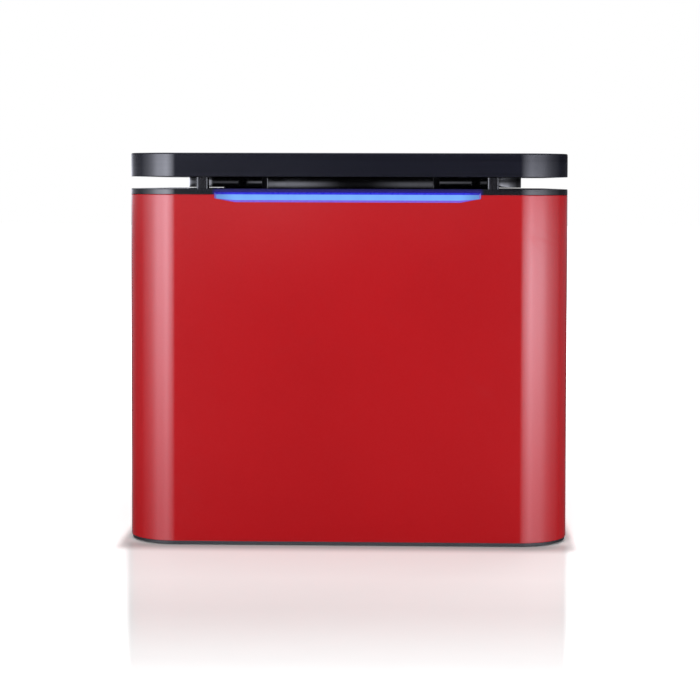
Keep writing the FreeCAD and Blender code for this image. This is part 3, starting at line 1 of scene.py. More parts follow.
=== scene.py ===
"""Looks of the desktop real-time PCR machine: painted sleeve, black lid, lit bar, wells and rear panel."""

import json
import math

import bmesh
import bpy
from mathutils import Matrix, Vector


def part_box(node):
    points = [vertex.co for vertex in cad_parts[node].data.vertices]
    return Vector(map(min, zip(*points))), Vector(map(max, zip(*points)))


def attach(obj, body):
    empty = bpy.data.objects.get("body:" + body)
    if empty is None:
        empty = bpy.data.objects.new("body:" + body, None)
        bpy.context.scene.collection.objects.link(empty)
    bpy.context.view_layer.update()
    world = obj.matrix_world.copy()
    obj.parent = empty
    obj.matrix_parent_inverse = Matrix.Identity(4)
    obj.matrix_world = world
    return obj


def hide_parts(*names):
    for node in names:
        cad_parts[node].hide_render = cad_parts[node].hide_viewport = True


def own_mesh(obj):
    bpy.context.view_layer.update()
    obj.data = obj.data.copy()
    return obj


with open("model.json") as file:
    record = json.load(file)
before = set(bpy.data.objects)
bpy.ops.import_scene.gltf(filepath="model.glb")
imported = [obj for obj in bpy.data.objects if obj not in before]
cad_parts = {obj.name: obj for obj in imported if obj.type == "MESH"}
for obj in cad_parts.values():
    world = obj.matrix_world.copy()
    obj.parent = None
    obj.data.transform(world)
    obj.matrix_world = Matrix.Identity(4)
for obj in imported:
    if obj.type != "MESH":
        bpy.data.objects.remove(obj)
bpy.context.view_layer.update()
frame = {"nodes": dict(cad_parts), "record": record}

BODIES = frame["record"]["behaviour"]["bodies"]
BODY_OF = {node: body for body, nodes in BODIES.items() for node in nodes}
MM = 0.001
SCENE = bpy.context.scene

# Sizes that the looks share with the frame, in metres
SHELL_LOW, SHELL_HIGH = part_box("outer_shell")
LID_LOW, LID_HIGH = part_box("lid_cover")
BAR_LOW, BAR_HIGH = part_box("light_bar")
CORNER_R = 28.5 * MM
SHELL_WALL = 2.5 * MM
LED_PITCH = 12.44 * MM
LENS_END = 0.0745

# The photograph's eye
EYE = Vector((0.0330, -1.20, 0.2045))


# Node helpers


def add(tree, kind, inputs=None, **settings):
    """A node with its settings, and its sockets set or linked by name or number."""
    made = tree.nodes.new(kind)
    for name, value in settings.items():
        setattr(made, name, value)
    for name, value in (inputs or {}).items():
        if isinstance(value, bpy.types.NodeSocket):
            tree.links.new(value, made.inputs[name])
        else:
            made.inputs[name].default_value = value
    return made


def maths(tree, operation, *values, clamp=False):
    """Result of one math node."""
    return add(tree, "ShaderNodeMath", dict(enumerate(values)), operation=operation,
               use_clamp=clamp).outputs[0]


def remap(tree, value, low, high, to_low=0.0, to_high=1.0, smooth=False):
    """A value stretched from one range to another and held inside it."""
    kind = "SMOOTHSTEP" if smooth else "LINEAR"
    sockets = {"Value": value, "From Min": low, "From Max": high, "To Min": to_low, "To Max": to_high}
    return add(tree, "ShaderNodeMapRange", sockets, interpolation_type=kind).outputs["Result"]


def blend_colours(tree, factor, first, second):
    """Mix of two colours."""
    sockets = {"Factor": factor, 6: first, 7: second}
    return add(tree, "ShaderNodeMix", sockets, data_type="RGBA").outputs[2]


def new_group(name, inputs, outputs):
    """Empty shader group with named value inputs and outputs."""
    tree = bpy.data.node_groups.new(name, "ShaderNodeTree")
    for label, value in inputs.items():
        tree.interface.new_socket(label, in_out="INPUT",
                                  socket_type="NodeSocketFloat").default_value = value
    for label in outputs:
        tree.interface.new_socket(label, in_out="OUTPUT", socket_type="NodeSocketFloat")
    return tree, add(tree, "NodeGroupInput").outputs, add(tree, "NodeGroupOutput")


def place_group(tree, group, **values):
    """A group in a tree, with its inputs set by name; underscores stand for spaces."""
    sockets = {name.replace("_", " ").capitalize(): value for name, value in values.items()}
    return add(tree, "ShaderNodeGroup", sockets, node_tree=group).outputs


def coordinates(tree, kind="Object"):
    """The place on the piece, or another kind of coordinates, as X, Y and Z."""
    return add(tree, "ShaderNodeSeparateXYZ", {0: add(tree, "ShaderNodeTexCoord").outputs[kind]}).outputs


# Shared effects


def grain_group():
    """Fine surface grain: a height for bumps and a speckle for colour or roughness."""
    tree, given, out = new_group("surface grain", {"Scale": 1800.0, "Detail": 2.0}, ("Height", "Speckle"))
    where = add(tree, "ShaderNodeTexCoord").outputs["Object"]
    fine = add(tree, "ShaderNodeTexNoise", {"Vector": where, "Scale": given["Scale"],
                                            "Detail": given["Detail"]})
    coarse_scale = maths(tree, "MULTIPLY", given["Scale"], 0.23)
    coarse = add(tree, "ShaderNodeTexNoise", {"Vector": where, "Scale": coarse_scale, "Detail": 1.0})
    tree.links.new(fine.outputs["Fac"], out.inputs["Height"])
    mixed = maths(tree, "MULTIPLY", fine.outputs["Fac"], coarse.outputs["Fac"])
    tree.links.new(remap(tree, mixed, 0.12, 0.42), out.inputs["Speckle"])
    return tree


def streak_group():
    """Brushed streaks along the width, finest across it, on upright and on level faces."""
    tree, given, out = new_group("brushed streaks", {"Along": 6.0, "Across": 2600.0}, ("Streak", "Broad"))
    coords = add(tree, "ShaderNodeTexCoord")
    where = add(tree, "ShaderNodeSeparateXYZ", {0: coords.outputs["Object"]}).outputs
    facing = add(tree, "ShaderNodeSeparateXYZ", {0: coords.outputs["Normal"]}).outputs
    level = maths(tree, "GREATER_THAN", maths(tree, "ABSOLUTE", facing["Z"]), 0.7)
    run = maths(tree, "ADD", maths(tree, "MULTIPLY", where["X"], given["Along"]),
                maths(tree, "MULTIPLY", where["Y"], maths(tree, "SUBTRACT", 1.0, level)))
    height = add(tree, "ShaderNodeMix", {"Factor": level, 2: where["Z"], 3: where["Y"]},
                 data_type="FLOAT").outputs[0]
    for label, share in (("Streak", 1.0), ("Broad", 0.16)):
        across = maths(tree, "MULTIPLY", maths(tree, "MULTIPLY", height, given["Across"]), share)
        spot = add(tree, "ShaderNodeCombineXYZ", {"X": run, "Y": across}).outputs[0]
        noise = add(tree, "ShaderNodeTexNoise", {"Vector": spot, "Scale": 1.0, "Detail": 2.0})
        tree.links.new(remap(tree, noise.outputs["Fac"], 0.3, 0.7), out.inputs[label])
    return tree


def cloud_group():
    """Slow change over the surface, from 0 to 1."""
    tree, given, out = new_group("slow mottle", {"Scale": 18.0}, ("Mottle",))
    where = add(tree, "ShaderNodeTexCoord").outputs["Object"]
    noise = add(tree, "ShaderNodeTexNoise", {"Vector": where, "Scale": given["Scale"], "Detail": 3.0})
    tree.links.new(remap(tree, noise.outputs["Fac"], 0.3, 0.7, smooth=True), out.inputs["Mottle"])
    return tree


def dust_group():
    """Dust that settles in specks on faces that look up."""
    tree, given, out = new_group("settled dust", {"Scale": 900.0, "Amount": 0.3}, ("Mask",))
    coords = add(tree, "ShaderNodeTexCoord")
    facing = add(tree, "ShaderNodeSeparateXYZ", {0: coords.outputs["Normal"]}).outputs["Z"]
    specks = add(tree, "ShaderNodeTexNoise", {"Vector": coords.outputs["Object"], "Scale": given["Scale"],
                                              "Detail": 4.0})
    patches = add(tree, "ShaderNodeTexNoise", {"Vector": coords.outputs["Object"], "Scale": 22.0,
                                               "Detail": 2.0})
    amount = maths(tree, "MULTIPLY", remap(tree, specks.outputs["Fac"], 0.52, 0.75),
                   remap(tree, patches.outputs["Fac"], 0.35, 0.65))
    amount = maths(tree, "MULTIPLY", amount, remap(tree, facing, 0.5, 0.95))
    tree.links.new(maths(tree, "MULTIPLY", amount, given["Amount"], clamp=True), out.inputs["Mask"])
    return tree


def scuff_group():
    """Hair-thin handling marks in slanted runs."""
    tree, given, out = new_group("handling marks", {"Scale": 60.0, "Width": 0.012}, ("Mask",))
    where = add(tree, "ShaderNodeTexCoord").outputs["Object"]
    masks = []
    for turn in (0.35, -0.6):
        slant = add(tree, "ShaderNodeVectorRotate", {"Vector": where, "Angle": turn},
                    rotation_type="Y_AXIS").outputs[0]
        run = add(tree, "ShaderNodeVectorMath", {0: slant, 1: (0.15, 0.15, 1.0)},
                  operation="MULTIPLY").outputs[0]
        noise = add(tree, "ShaderNodeTexNoise",
                    {"Vector": run, "Scale": given["Scale"], "Detail": 1.0}).outputs["Fac"]
        away = maths(tree, "ABSOLUTE", maths(tree, "SUBTRACT", noise, 0.5))
        line = maths(tree, "LESS_THAN", away, maths(tree, "MULTIPLY", given["Width"], 0.5))
        patch = add(tree, "ShaderNodeTexNoise",
                    {"Vector": where, "Scale": 31.0 + 9 * turn, "Detail": 1.0}).outputs["Fac"]
        masks.append(maths(tree, "MULTIPLY", line, remap(tree, patch, 0.55, 0.7)))
    tree.links.new(maths(tree, "MAXIMUM", *masks), out.inputs["Mask"])
    return tree


GRAIN, STREAKS, CLOUDS = grain_group(), streak_group(), cloud_group()
DUST, SCUFFS = dust_group(), scuff_group()


# Finishes


def shade(colour, factor):
    """A colour made lighter or darker."""
    return tuple(min(1.0, c * factor) for c in colour[:3]) + (1.0,)


def empty_material(name):
    """Material whose node tree is empty."""
    material = bpy.data.materials.new(name)
    material.use_nodes = True
    material.node_tree.nodes.clear()
    return material, material.node_tree


def new_material(name, colour, **fixed):
    """Material with a shader whose even values are set on its own sockets."""
    material, tree = empty_material(name)
    material.diffuse_color = shade(colour, 1)
    shader = add(tree, "ShaderNodeBsdfPrincipled")
    add(tree, "ShaderNodeOutputMaterial", {"Surface": shader.outputs[0]})
    for label, value in fixed.items():
        shader.inputs[label.replace("_", " ")].default_value = value
    return material, tree, shader


def bump(tree, shader, height, depth):
    """Bump of a real depth on the shader's normal."""
    made = add(tree, "ShaderNodeBump", {"Strength": 1.0, "Distance": depth, "Height": height})
    tree.links.new(made.outputs[0], shader.inputs["Normal"])


def finish(name, colour, roughness, spread=0.06, mottle=0.08, scale=1800.0, depth=0.004, dust=0.0, **fixed):
    """Moulded, cast or painted finish: grain of a depth in millimetres, slow mottle and some dust."""
    material, tree, shader = new_material(name, colour, **fixed)
    grain = place_group(tree, GRAIN, scale=scale, detail=2.0)
    slow = place_group(tree, CLOUDS, scale=18.0)["Mottle"]
    paint = blend_colours(tree, slow, shade(colour, 1 - mottle), shade(colour, 1 + mottle))
    speck = maths(tree, "MULTIPLY", grain["Speckle"], mottle)
    paint = blend_colours(tree, speck, paint, shade(colour, 1.5))
    rough = remap(tree, grain["Speckle"], 0, 1, roughness - spread, roughness + spread)
    if dust:
        mask = place_group(tree, DUST, scale=700.0, amount=dust)["Mask"]
        paint = blend_colours(tree, mask, paint, (0.55, 0.54, 0.52, 1))
        rough = maths(tree, "ADD", rough, maths(tree, "MULTIPLY", mask, 0.4), clamp=True)
    tree.links.new(paint, shader.inputs["Base Color"])
    tree.links.new(rough, shader.inputs["Roughness"])
    bump(tree, shader, grain["Height"], depth * MM)
    return material


def brushed(name, colour, roughness, along=6.0, across=2600.0, contrast=0.35, spread=0.1, depth=0.002,
            dust=0.0, **fixed):
    """Brushed metal, bare or anodised."""
    material, tree, shader = new_material(name, colour, **fixed)
    streaks = place_group(tree, STREAKS, along=along, across=across)
    slow = place_group(tree, CLOUDS, scale=9.0)["Mottle"]
    fine = maths(tree, "MULTIPLY", streaks["Streak"], 0.6)
    mixed = maths(tree, "ADD", fine, maths(tree, "MULTIPLY", streaks["Broad"], 0.4))
    paint = blend_colours(tree, mixed, shade(colour, 1 - contrast), shade(colour, 1 + contrast))
    paint = blend_colours(tree, maths(tree, "MULTIPLY", slow, 0.25), paint, shade(colour, 1.2))
    rough = remap(tree, mixed, 0, 1, roughness - spread, roughness + spread)
    if dust:
        mask = place_group(tree, DUST, scale=700.0, amount=dust)["Mask"]
        paint = blend_colours(tree, mask, paint, (0.5, 0.5, 0.5, 1))
    tree.links.new(paint, shader.inputs["Base Color"])
    tree.links.new(rough, shader.inputs["Roughness"])
    bump(tree, shader, mixed, depth * MM)
    return material


def painted_sleeve():
    """Red paint: orange peel under a satin coat, and hair marks."""
    colour = (0.49, 0.0085, 0.0125)
    material, tree, shader = new_material("red_paint", colour, Specular_IOR_Level=0.5)
    slow = place_group(tree, CLOUDS, scale=11.0)["Mottle"]
    grain = place_group(tree, GRAIN, scale=5200.0, detail=1.0)
    paint = blend_colours(tree, slow, shade(colour, 0.97), shade(colour, 1.03))
    paint = blend_colours(tree, maths(tree, "MULTIPLY", grain["Speckle"], 0.10), paint,
                          (0.62, 0.03, 0.04, 1))
    marks = place_group(tree, SCUFFS, scale=34.0, width=0.006)["Mask"]
    rough = remap(tree, grain["Speckle"], 0, 1, 0.125, 0.165)
    rough = maths(tree, "ADD", rough, maths(tree, "MULTIPLY", marks, 0.05))
    tree.links.new(paint, shader.inputs["Base Color"])
    tree.links.new(rough, shader.inputs["Roughness"])
    peel = place_group(tree, GRAIN, scale=420.0, detail=1.0)["Height"]
    bump(tree, shader, peel, 0.004 * MM)
    return material


def lit_material(name, colour, glow):
    """Frosted, lit plastic whose light falls off towards the ends and swells over each lamp."""
    material, tree, shader = new_material(name, colour, IOR=1.49, Emission_Strength=1.0)
    where = coordinates(tree)
    reach = maths(tree, "ABSOLUTE", where["X"])
    ends = remap(tree, reach, 0.062, LENS_END, 1.0, 0.62, smooth=True)
    lamps = maths(tree, "COSINE", maths(tree, "MULTIPLY", where["X"], 2 * math.pi / LED_PITCH))
    level = maths(tree, "MULTIPLY", ends, remap(tree, lamps, -1, 1, 0.96, 1.0))
    tree.links.new(blend_colours(tree, level, (0, 0, 0, 1), glow), shader.inputs["Emission Color"])
    grain = place_group(tree, GRAIN, scale=2600.0, detail=1.0)
    tree.links.new(remap(tree, grain["Speckle"], 0, 1, 0.3, 0.45), shader.inputs["Roughness"])
    tree.links.new(blend_colours(tree, grain["Speckle"], shade(colour, 0.9), shade(colour, 1.1)),
                   shader.inputs["Base Color"])
    return material


def board_finish(name, colour):
    """Circuit board: solder mask with buried tracks and tinned pads."""
    material, tree, shader = new_material(name, colour, Specular_IOR_Level=0.5)
    where = add(tree, "ShaderNodeTexCoord").outputs["Object"]
    grid = {"Vector": where, "Scale": 260.0, "Mortar Size": 0.06}
    grid.update({"Color1": (0, 0, 0, 1), "Color2": (0, 0, 0, 1), "Mortar": (1, 1, 1, 1)})
    tracks = add(tree, "ShaderNodeTexBrick", grid).outputs["Color"]
    pads = add(tree, "ShaderNodeTexVoronoi", {"Vector": where, "Scale": 300.0}).outputs["Distance"]
    pad = maths(tree, "LESS_THAN", pads, 0.16)
    paint = blend_colours(tree, tracks, shade(colour, 1), shade(colour, 1.7))
    paint = blend_colours(tree, pad, paint, (0.62, 0.6, 0.52, 1))
    tree.links.new(paint, shader.inputs["Base Color"])
    tree.links.new(maths(tree, "MULTIPLY", pad, 0.9), shader.inputs["Metallic"])
    tree.links.new(remap(tree, pads, 0, 1, 0.32, 0.45), shader.inputs["Roughness"])
    bump(tree, shader, tracks, 0.01 * MM)
    return material


def deck_finish():
    """Black anodised deck, with the blue of the lit bar spilling over its front edge as a painted glow."""
    material = brushed("black_deck", (0.0045, 0.0048, 0.0075), 0.17, contrast=0.25, dust=0.04)
    tree = material.node_tree
    shader = next(n for n in tree.nodes if n.type == "BSDF_PRINCIPLED")
    where = coordinates(tree)
    # Painted light: a blue glow on the deck's front face next to the bar, fading upwards
    spill_end, front_edge, edge_height = (0.0735, 0.0765), -0.1190, (0.1988, 0.2012)
    reach = remap(tree, maths(tree, "ABSOLUTE", where["X"]), *spill_end, 1.0, 0.0, smooth=True)
    front = maths(tree, "LESS_THAN", where["Y"], front_edge)
    rise = remap(tree, where["Z"], *edge_height, 1.0, 0.16)
    painted_spill = maths(tree, "MULTIPLY", maths(tree, "MULTIPLY", reach, front), rise)
    tree.links.new(blend_colours(tree, painted_spill, (0, 0, 0, 1), (0.016, 0.006, 0.2, 1)),
                   shader.inputs["Emission Color"])
    shader.inputs["Emission Strength"].default_value = 1.0
    return material


FINISHES = {
    "red_paint": painted_sleeve(),
    "black_metal": finish("black_metal", (0.012, 0.012, 0.014), 0.5, scale=2400.0, depth=0.02),
    "foot_rubber": finish("foot_rubber", (0.016, 0.016, 0.016), 0.8, scale=1500.0, depth=0.02,
                          Specular_IOR_Level=0.3),
    "black_screw": brushed("black_screw", (0.035, 0.035, 0.037), 0.38, along=300.0, across=1800.0,
                           Metallic=0.85),
    "black_deck": deck_finish(),
    "post_black": brushed("post_black", (0.006, 0.006, 0.008), 0.16, along=900.0, across=300.0,
                          Specular_IOR_Level=0.6),
    "bright_steel": brushed("bright_steel", (0.6, 0.6, 0.62), 0.3, along=200.0, across=1500.0, contrast=0.1,
                            Metallic=1.0),
    "diffuser": lit_material("diffuser", (0.01, 0.03, 0.1), (0.168, 0.40, 0.88, 1)),
    "board_green": board_finish("board_green", (0.015, 0.11, 0.05)),
    "led_blue": finish("led_blue", (0.7, 0.75, 0.8), 0.2, scale=3000.0, depth=0.002),
    "plain_aluminium": brushed("plain_aluminium", (0.7, 0.71, 0.73), 0.36, along=30.0, contrast=0.08,
                               Metallic=1.0),
    "block_aluminium": finish("block_aluminium", (0.72, 0.73, 0.74), 0.42, scale=3200.0, depth=0.02,
                              mottle=0.04, Metallic=1.0),
    "tile_ceramic": finish("tile_ceramic", (0.82, 0.82, 0.8), 0.55, depth=0.01),
    "black_plastic": finish("black_plastic", (0.018, 0.018, 0.02), 0.42, scale=2100.0, depth=0.015),
    "clear_guide": finish("clear_guide", (0.85, 0.9, 0.95), 0.06, spread=0.02, mottle=0.02,
                          Transmission_Weight=0.9, IOR=1.49),
    "fan_plastic": finish("fan_plastic", (0.022, 0.022, 0.024), 0.45, scale=1700.0, depth=0.01, dust=0.1),
    "socket_plastic": finish("socket_plastic", (0.02, 0.02, 0.02), 0.36, scale=2600.0, depth=0.01),
    "contact_brass": brushed("contact_brass", (0.72, 0.6, 0.36), 0.28, along=400.0, contrast=0.1,
                             Metallic=1.0),
    "rocker_plastic": finish("rocker_plastic", (0.02, 0.02, 0.02), 0.2, spread=0.04, scale=900.0,
                             depth=0.003),
    "chip_plastic": finish("chip_plastic", (0.03, 0.03, 0.035), 0.5, scale=3000.0, depth=0.01),
    "port_steel": brushed("port_steel", (0.62, 0.62, 0.64), 0.3, along=60.0, contrast=0.1, Metallic=1.0),
    "hinge_steel": brushed("hinge_steel", (0.05, 0.05, 0.055), 0.36, along=40.0, contrast=0.25,
                           Metallic=0.8),
    "lid_black": brushed("lid_black", (0.0038, 0.0042, 0.0100), 0.17, along=5.0, across=2400.0,
                         contrast=0.35, spread=0.04, dust=0.03),
    "lid_under": finish("lid_under", (0.008, 0.008, 0.011), 0.3, scale=2200.0, depth=0.01),
    "gloss_black": finish("gloss_black", (0.008, 0.008, 0.010), 0.035, spread=0.01, scale=500.0,
                          depth=0.0003),
    "matt_corner": finish("matt_corner", (0.006, 0.006, 0.008), 0.6, depth=0.01, Specular_IOR_Level=0.1),
    "plate_aluminium": brushed("plate_aluminium", (0.6, 0.6, 0.62), 0.34, along=12.0, contrast=0.1,
                               Metallic=1.0),
    "mat_orange": finish("mat_orange", (0.55, 0.2, 0.05), 0.5, scale=1400.0, depth=0.02),
}


# Pieces


# Degrees: an edge that gets broken, and faces that are taken as one
SHARP, FLAT = 32, 0.8
# Metres: points that become one, and edges too short to keep
WELD, SLIVER = 2e-6, 1e-7
SLOT_OF = {part["node"]: part["material_slot"] for part in frame["record"]["subparts"]}


def new_piece(name, surface, finishes):
    """Object at the origin that holds a built surface and its finishes."""
    mesh = bpy.data.meshes.new(name)
    surface.to_mesh(mesh)
    surface.free()
    piece = bpy.data.objects.new(name, mesh)
    SCENE.collection.objects.link(piece)
    for slot in finishes:
        mesh.materials.append(FINISHES[slot])
    return piece


def as_plain_mesh(piece):
    """Turns what the modifiers make into the piece's own mesh, and takes the modifiers off."""
    graph = bpy.context.evaluated_depsgraph_get()
    mesh = bpy.data.meshes.new_from_object(piece.evaluated_get(graph), preserve_all_data_layers=True,
                                           depsgraph=graph)
    piece.modifiers.clear()
    piece.data = mesh


def soften(piece, width):
    """Breaks the sharp edges by a width in millimetres and evens the shading."""
    for polygon in piece.data.polygons:
        polygon.use_smooth = True
    if width:
        bevel = piece.modifiers.new("broken edges", "BEVEL")
        bevel.width, bevel.segments = width * MM, 2
        bevel.limit_method, bevel.angle_limit = "ANGLE", math.radians(SHARP)
        bevel.use_clamp_overlap = True
    even = piece.modifiers.new("even shading", "WEIGHTED_NORMAL")
    even.mode, even.weight, even.keep_sharp = "FACE_AREA", 60, False
    as_plain_mesh(piece)


def settle(piece, node):
    """Puts a finished piece on the body of the node that it stands for."""
    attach(piece, BODY_OF[node])
    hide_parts(node)
    return piece


def merged(node):
    """The frame's solid as one connected surface."""
    surface = bmesh.new()
    surface.from_mesh(frame["nodes"][node].data)
    bmesh.ops.remove_doubles(surface, verts=surface.verts, dist=WELD)
    bmesh.ops.dissolve_degenerate(surface, edges=surface.edges, dist=SLIVER)
    return surface


def refined(node, width):
    """The frame's solid with broken edges and even shading."""
    surface = merged(node)
    bmesh.ops.dissolve_limit(surface, angle_limit=math.radians(FLAT), verts=surface.verts,
                             edges=surface.edges)
    piece = new_piece(node + "_dressed", surface, [SLOT_OF[node]])
    soften(piece, width)
    return settle(piece, node)


def matt_corners(piece):
    """Gives the upright rounded corners of a piece their matt finish."""
    turned, upright = 0.08, 0.3
    piece.data.materials.append(FINISHES["matt_corner"])
    for polygon in piece.data.polygons:
        across, along, up = (abs(part) for part in polygon.normal)
        if min(across, along) > turned and up < upright:
            polygon.material_index = 1


def islands(node):
    """Low and high corner of each loose solid of a node."""
    surface = merged(node)
    boxes, seen = [], set()
    for start in surface.verts:
        if start in seen:
            continue
        seen.add(start)
        waiting, found = [start], []
        while waiting:
            vertex = waiting.pop()
            found.append(vertex.co.copy())
            for edge in vertex.link_edges:
                other = edge.other_vert(vertex)
                if other not in seen:
                    seen.add(other)
                    waiting.append(other)
        boxes.append((Vector(map(min, *found)), Vector(map(max, *found))))
    surface.free()
    return boxes


# Forms swept round the footprint


def footprint(inset, steps=20):
    """Points round the outer form, set in by a distance, anticlockwise from above."""
    half_x, half_y = SHELL_HIGH.x - CORNER_R, SHELL_HIGH.y - CORNER_R
    points = []
    for quarter, (sx, sy) in enumerate(((1, 1), (-1, 1), (-1, -1), (1, -1))):
        for i in range(steps + 1):
            angle = math.radians(90 * (quarter + i / steps))
            radius = CORNER_R - inset
            points.append((sx * half_x + radius * math.cos(angle), sy * half_y + radius * math.sin(angle)))
    return points


def swept(name, section, finishes, closed=False):
    """Closed surface swept round the footprint. The section runs as insets and heights, in metres."""
    surface = bmesh.new()
    loops = []
    for inset, height in section:
        loops.append([surface.verts.new((x, y, height)) for x, y in footprint(inset)])
    pairs = list(zip(loops, loops[1:])) + ([(loops[-1], loops[0])] if closed else [])
    for low, high in pairs:
        for i in range(len(low)):
            j = (i + 1) % len(low)
            surface.faces.new((low[i], low[j], high[j], high[i]))
    if not closed:
        surface.faces.new(reversed(loops[0]))
        surface.faces.new(loops[-1])
    return new_piece(name, surface, finishes)


def rounding(inset, height, radius, start, steps=4):
    """Section points of a rounded edge, from a start angle through a quarter turn."""
    turns = [math.radians(start + 90 * i / steps) for i in range(steps + 1)]
    return [(inset - radius * math.cos(t), height + radius * math.sin(t)) for t in turns]


def prism(name, outline, depths):
    """Solid between two upright planes, from an outline of points across and up."""
    surface = bmesh.new()
    front, back = [[surface.verts.new((x, y, z)) for x, z in outline] for y in depths]
    surface.faces.new(front)
    surface.faces.new(reversed(back))
    for i in range(len(outline)):
        j = (i + 1) % len(outline)
        surface.faces.new((front[j], front[i], back[i], back[j]))
    bmesh.ops.recalc_face_normals(surface, faces=surface.faces)
    return new_piece(name, surface, [])


def carve(piece, cutters):
    """Cuts solids out of a piece and takes the cutters away."""
    for cutter in cutters:
        cut = piece.modifiers.new("cut", "BOOLEAN")
        cut.operation, cut.solver, cut.object = "DIFFERENCE", "EXACT", cutter
    as_plain_mesh(piece)
    for cutter in cutters:
        bpy.data.objects.remove(cutter)


def eased(corners, steps=8):
    """Outline whose corners are rounded by their own radius; each corner is across, up and radius."""
    outline = []
    count = len(corners)
    for i, (x, z, radius) in enumerate(corners):
        here = Vector((x, z))
        if not radius:
            outline.append(tuple(here))
            continue
        before = (Vector(corners[i - 1][:2]) - here).normalized()
        after = (Vector(corners[(i + 1) % count][:2]) - here).normalized()
        half = before.angle(after) / 2
        centre = here + (before + after).normalized() * (radius / math.sin(half))
        start = here + before * (radius / math.tan(half)) - centre
        end = here + after * (radius / math.tan(half)) - centre
        sweep = start.angle_signed(end)
        for k in range(steps + 1):
            turn = sweep * k / steps
            c, s = math.cos(-turn), math.sin(-turn)
            outline.append((centre.x + c * start.x - s * start.y, centre.y + s * start.x + c * start.y))
    return outline


def bar_outline(inset, lip=True):
    """Front outline of the lit bar, set in by a distance."""
    shell_top = SHELL_HIGH.z
    half, foot = 74.65 * MM - inset, 63.15 * MM - inset * 0.6
    top = (BAR_HIGH.z if lip else shell_top + 2 * MM) - inset
    shoulder, bottom = shell_top - 2.2 * MM - inset * 0.2, shell_top - 4.3 * MM + inset
    right = [(foot, bottom, 9 * MM), (half, shoulder, 0), (half, top, 0)]
    return eased(right + [(-x, z, r) for x, z, r in reversed(right)])


def rounded_rectangle(low, high, radius):
    """Outline of a rounded rectangle, across and up."""
    corners = ((low[0], low[1]), (high[0], low[1]), (high[0], high[1]), (low[0], high[1]))
    return eased([(x, z, radius) for x, z in corners])


def make_sleeve():
    """Painted sleeve with rounded edges, the notch for the bar, the rear window and its screw seats."""
    low, high, r = SHELL_LOW.z, SHELL_HIGH.z, 0.5 * MM
    section = rounding(r, low + r, r, -90) + rounding(r, high - r, r, 0)
    section += [(SHELL_WALL, high), (SHELL_WALL, low)]
    sleeve = swept("sleeve", section, ["red_paint"], closed=True)
    front, back = SHELL_LOW.y, SHELL_HIGH.y
    cutters = [prism("notch", bar_outline(-0.05 * MM, lip=False), (front - MM, front + 4 * MM))]
    window = rounded_rectangle((-90 * MM, 9 * MM), (90 * MM, 176 * MM), 8 * MM)
    cutters.append(prism("window", window, (back - 4 * MM, back + MM)))
    for screw_low, screw_high in islands("panel_screws"):
        x, z = (screw_low.x + screw_high.x) / 2, (screw_low.z + screw_high.z) / 2
        cutters.append(lathe("seat", [(0, -4), (1.35, -4), (1.35, -0.95), (2.3, 0), (2.3, 1), (0, 1)], [],
                             place=(x, back, z), aim="Y"))
    carve(sleeve, cutters)
    soften(sleeve, 0)
    settle(sleeve, "outer_shell")


def lathe(name, profile, finishes, steps=32, place=(0, 0, 0), aim="Z", drive=None):
    """Solid turned from a profile of radii and heights in millimetres, closed at both ends.

    A drive of (ring number, flats) makes that ring of the profile a polygon, for a screw's socket.
    """
    surface = bmesh.new()
    turn = {"Z": lambda x, y, z: (x, y, z),
            "Y": lambda x, y, z: (-x, z, y)}[aim]
    loops = []
    for ring, (radius, height) in enumerate(profile):
        if radius == 0:
            loops.append([surface.verts.new(Vector(turn(0, 0, height)) * MM + Vector(place))])
            continue
        loop = []
        for i in range(steps):
            angle = 2 * math.pi * i / steps
            reach = radius
            if drive and ring in drive[0]:
                sector = 2 * math.pi / drive[1]
                reach = radius * math.cos(sector / 2) / math.cos(angle % sector - sector / 2)
            spot = turn(reach * math.cos(angle), reach * math.sin(angle), height)
            loop.append(surface.verts.new(Vector(spot) * MM + Vector(place)))
        loops.append(loop)
    for low, high in zip(loops, loops[1:]):
        for i in range(steps):
            j = (i + 1) % steps
            ring = [low[i % len(low)], low[j % len(low)], high[j % len(high)], high[i % len(high)]]
            surface.faces.new(list(dict.fromkeys(ring)))
    bmesh.ops.recalc_face_normals(surface, faces=surface.faces)
    return new_piece(name, surface, finishes)


def make_lid():
    """Lid slab: fine rounded edges, hollow from below."""
    low, high = LID_LOW.z, LID_HIGH.z
    section = [(2.5 * MM, high - 2.5 * MM), (2.5 * MM, low)]
    section += rounding(0.3 * MM, low + 0.3 * MM, 0.3 * MM, -90, 3)
    section += rounding(0.8 * MM, high - 0.8 * MM, 0.8 * MM, 0, 6)
    lid = swept("lid_slab", section, ["lid_black"])
    soften(lid, 0)
    settle(lid, "lid_cover")


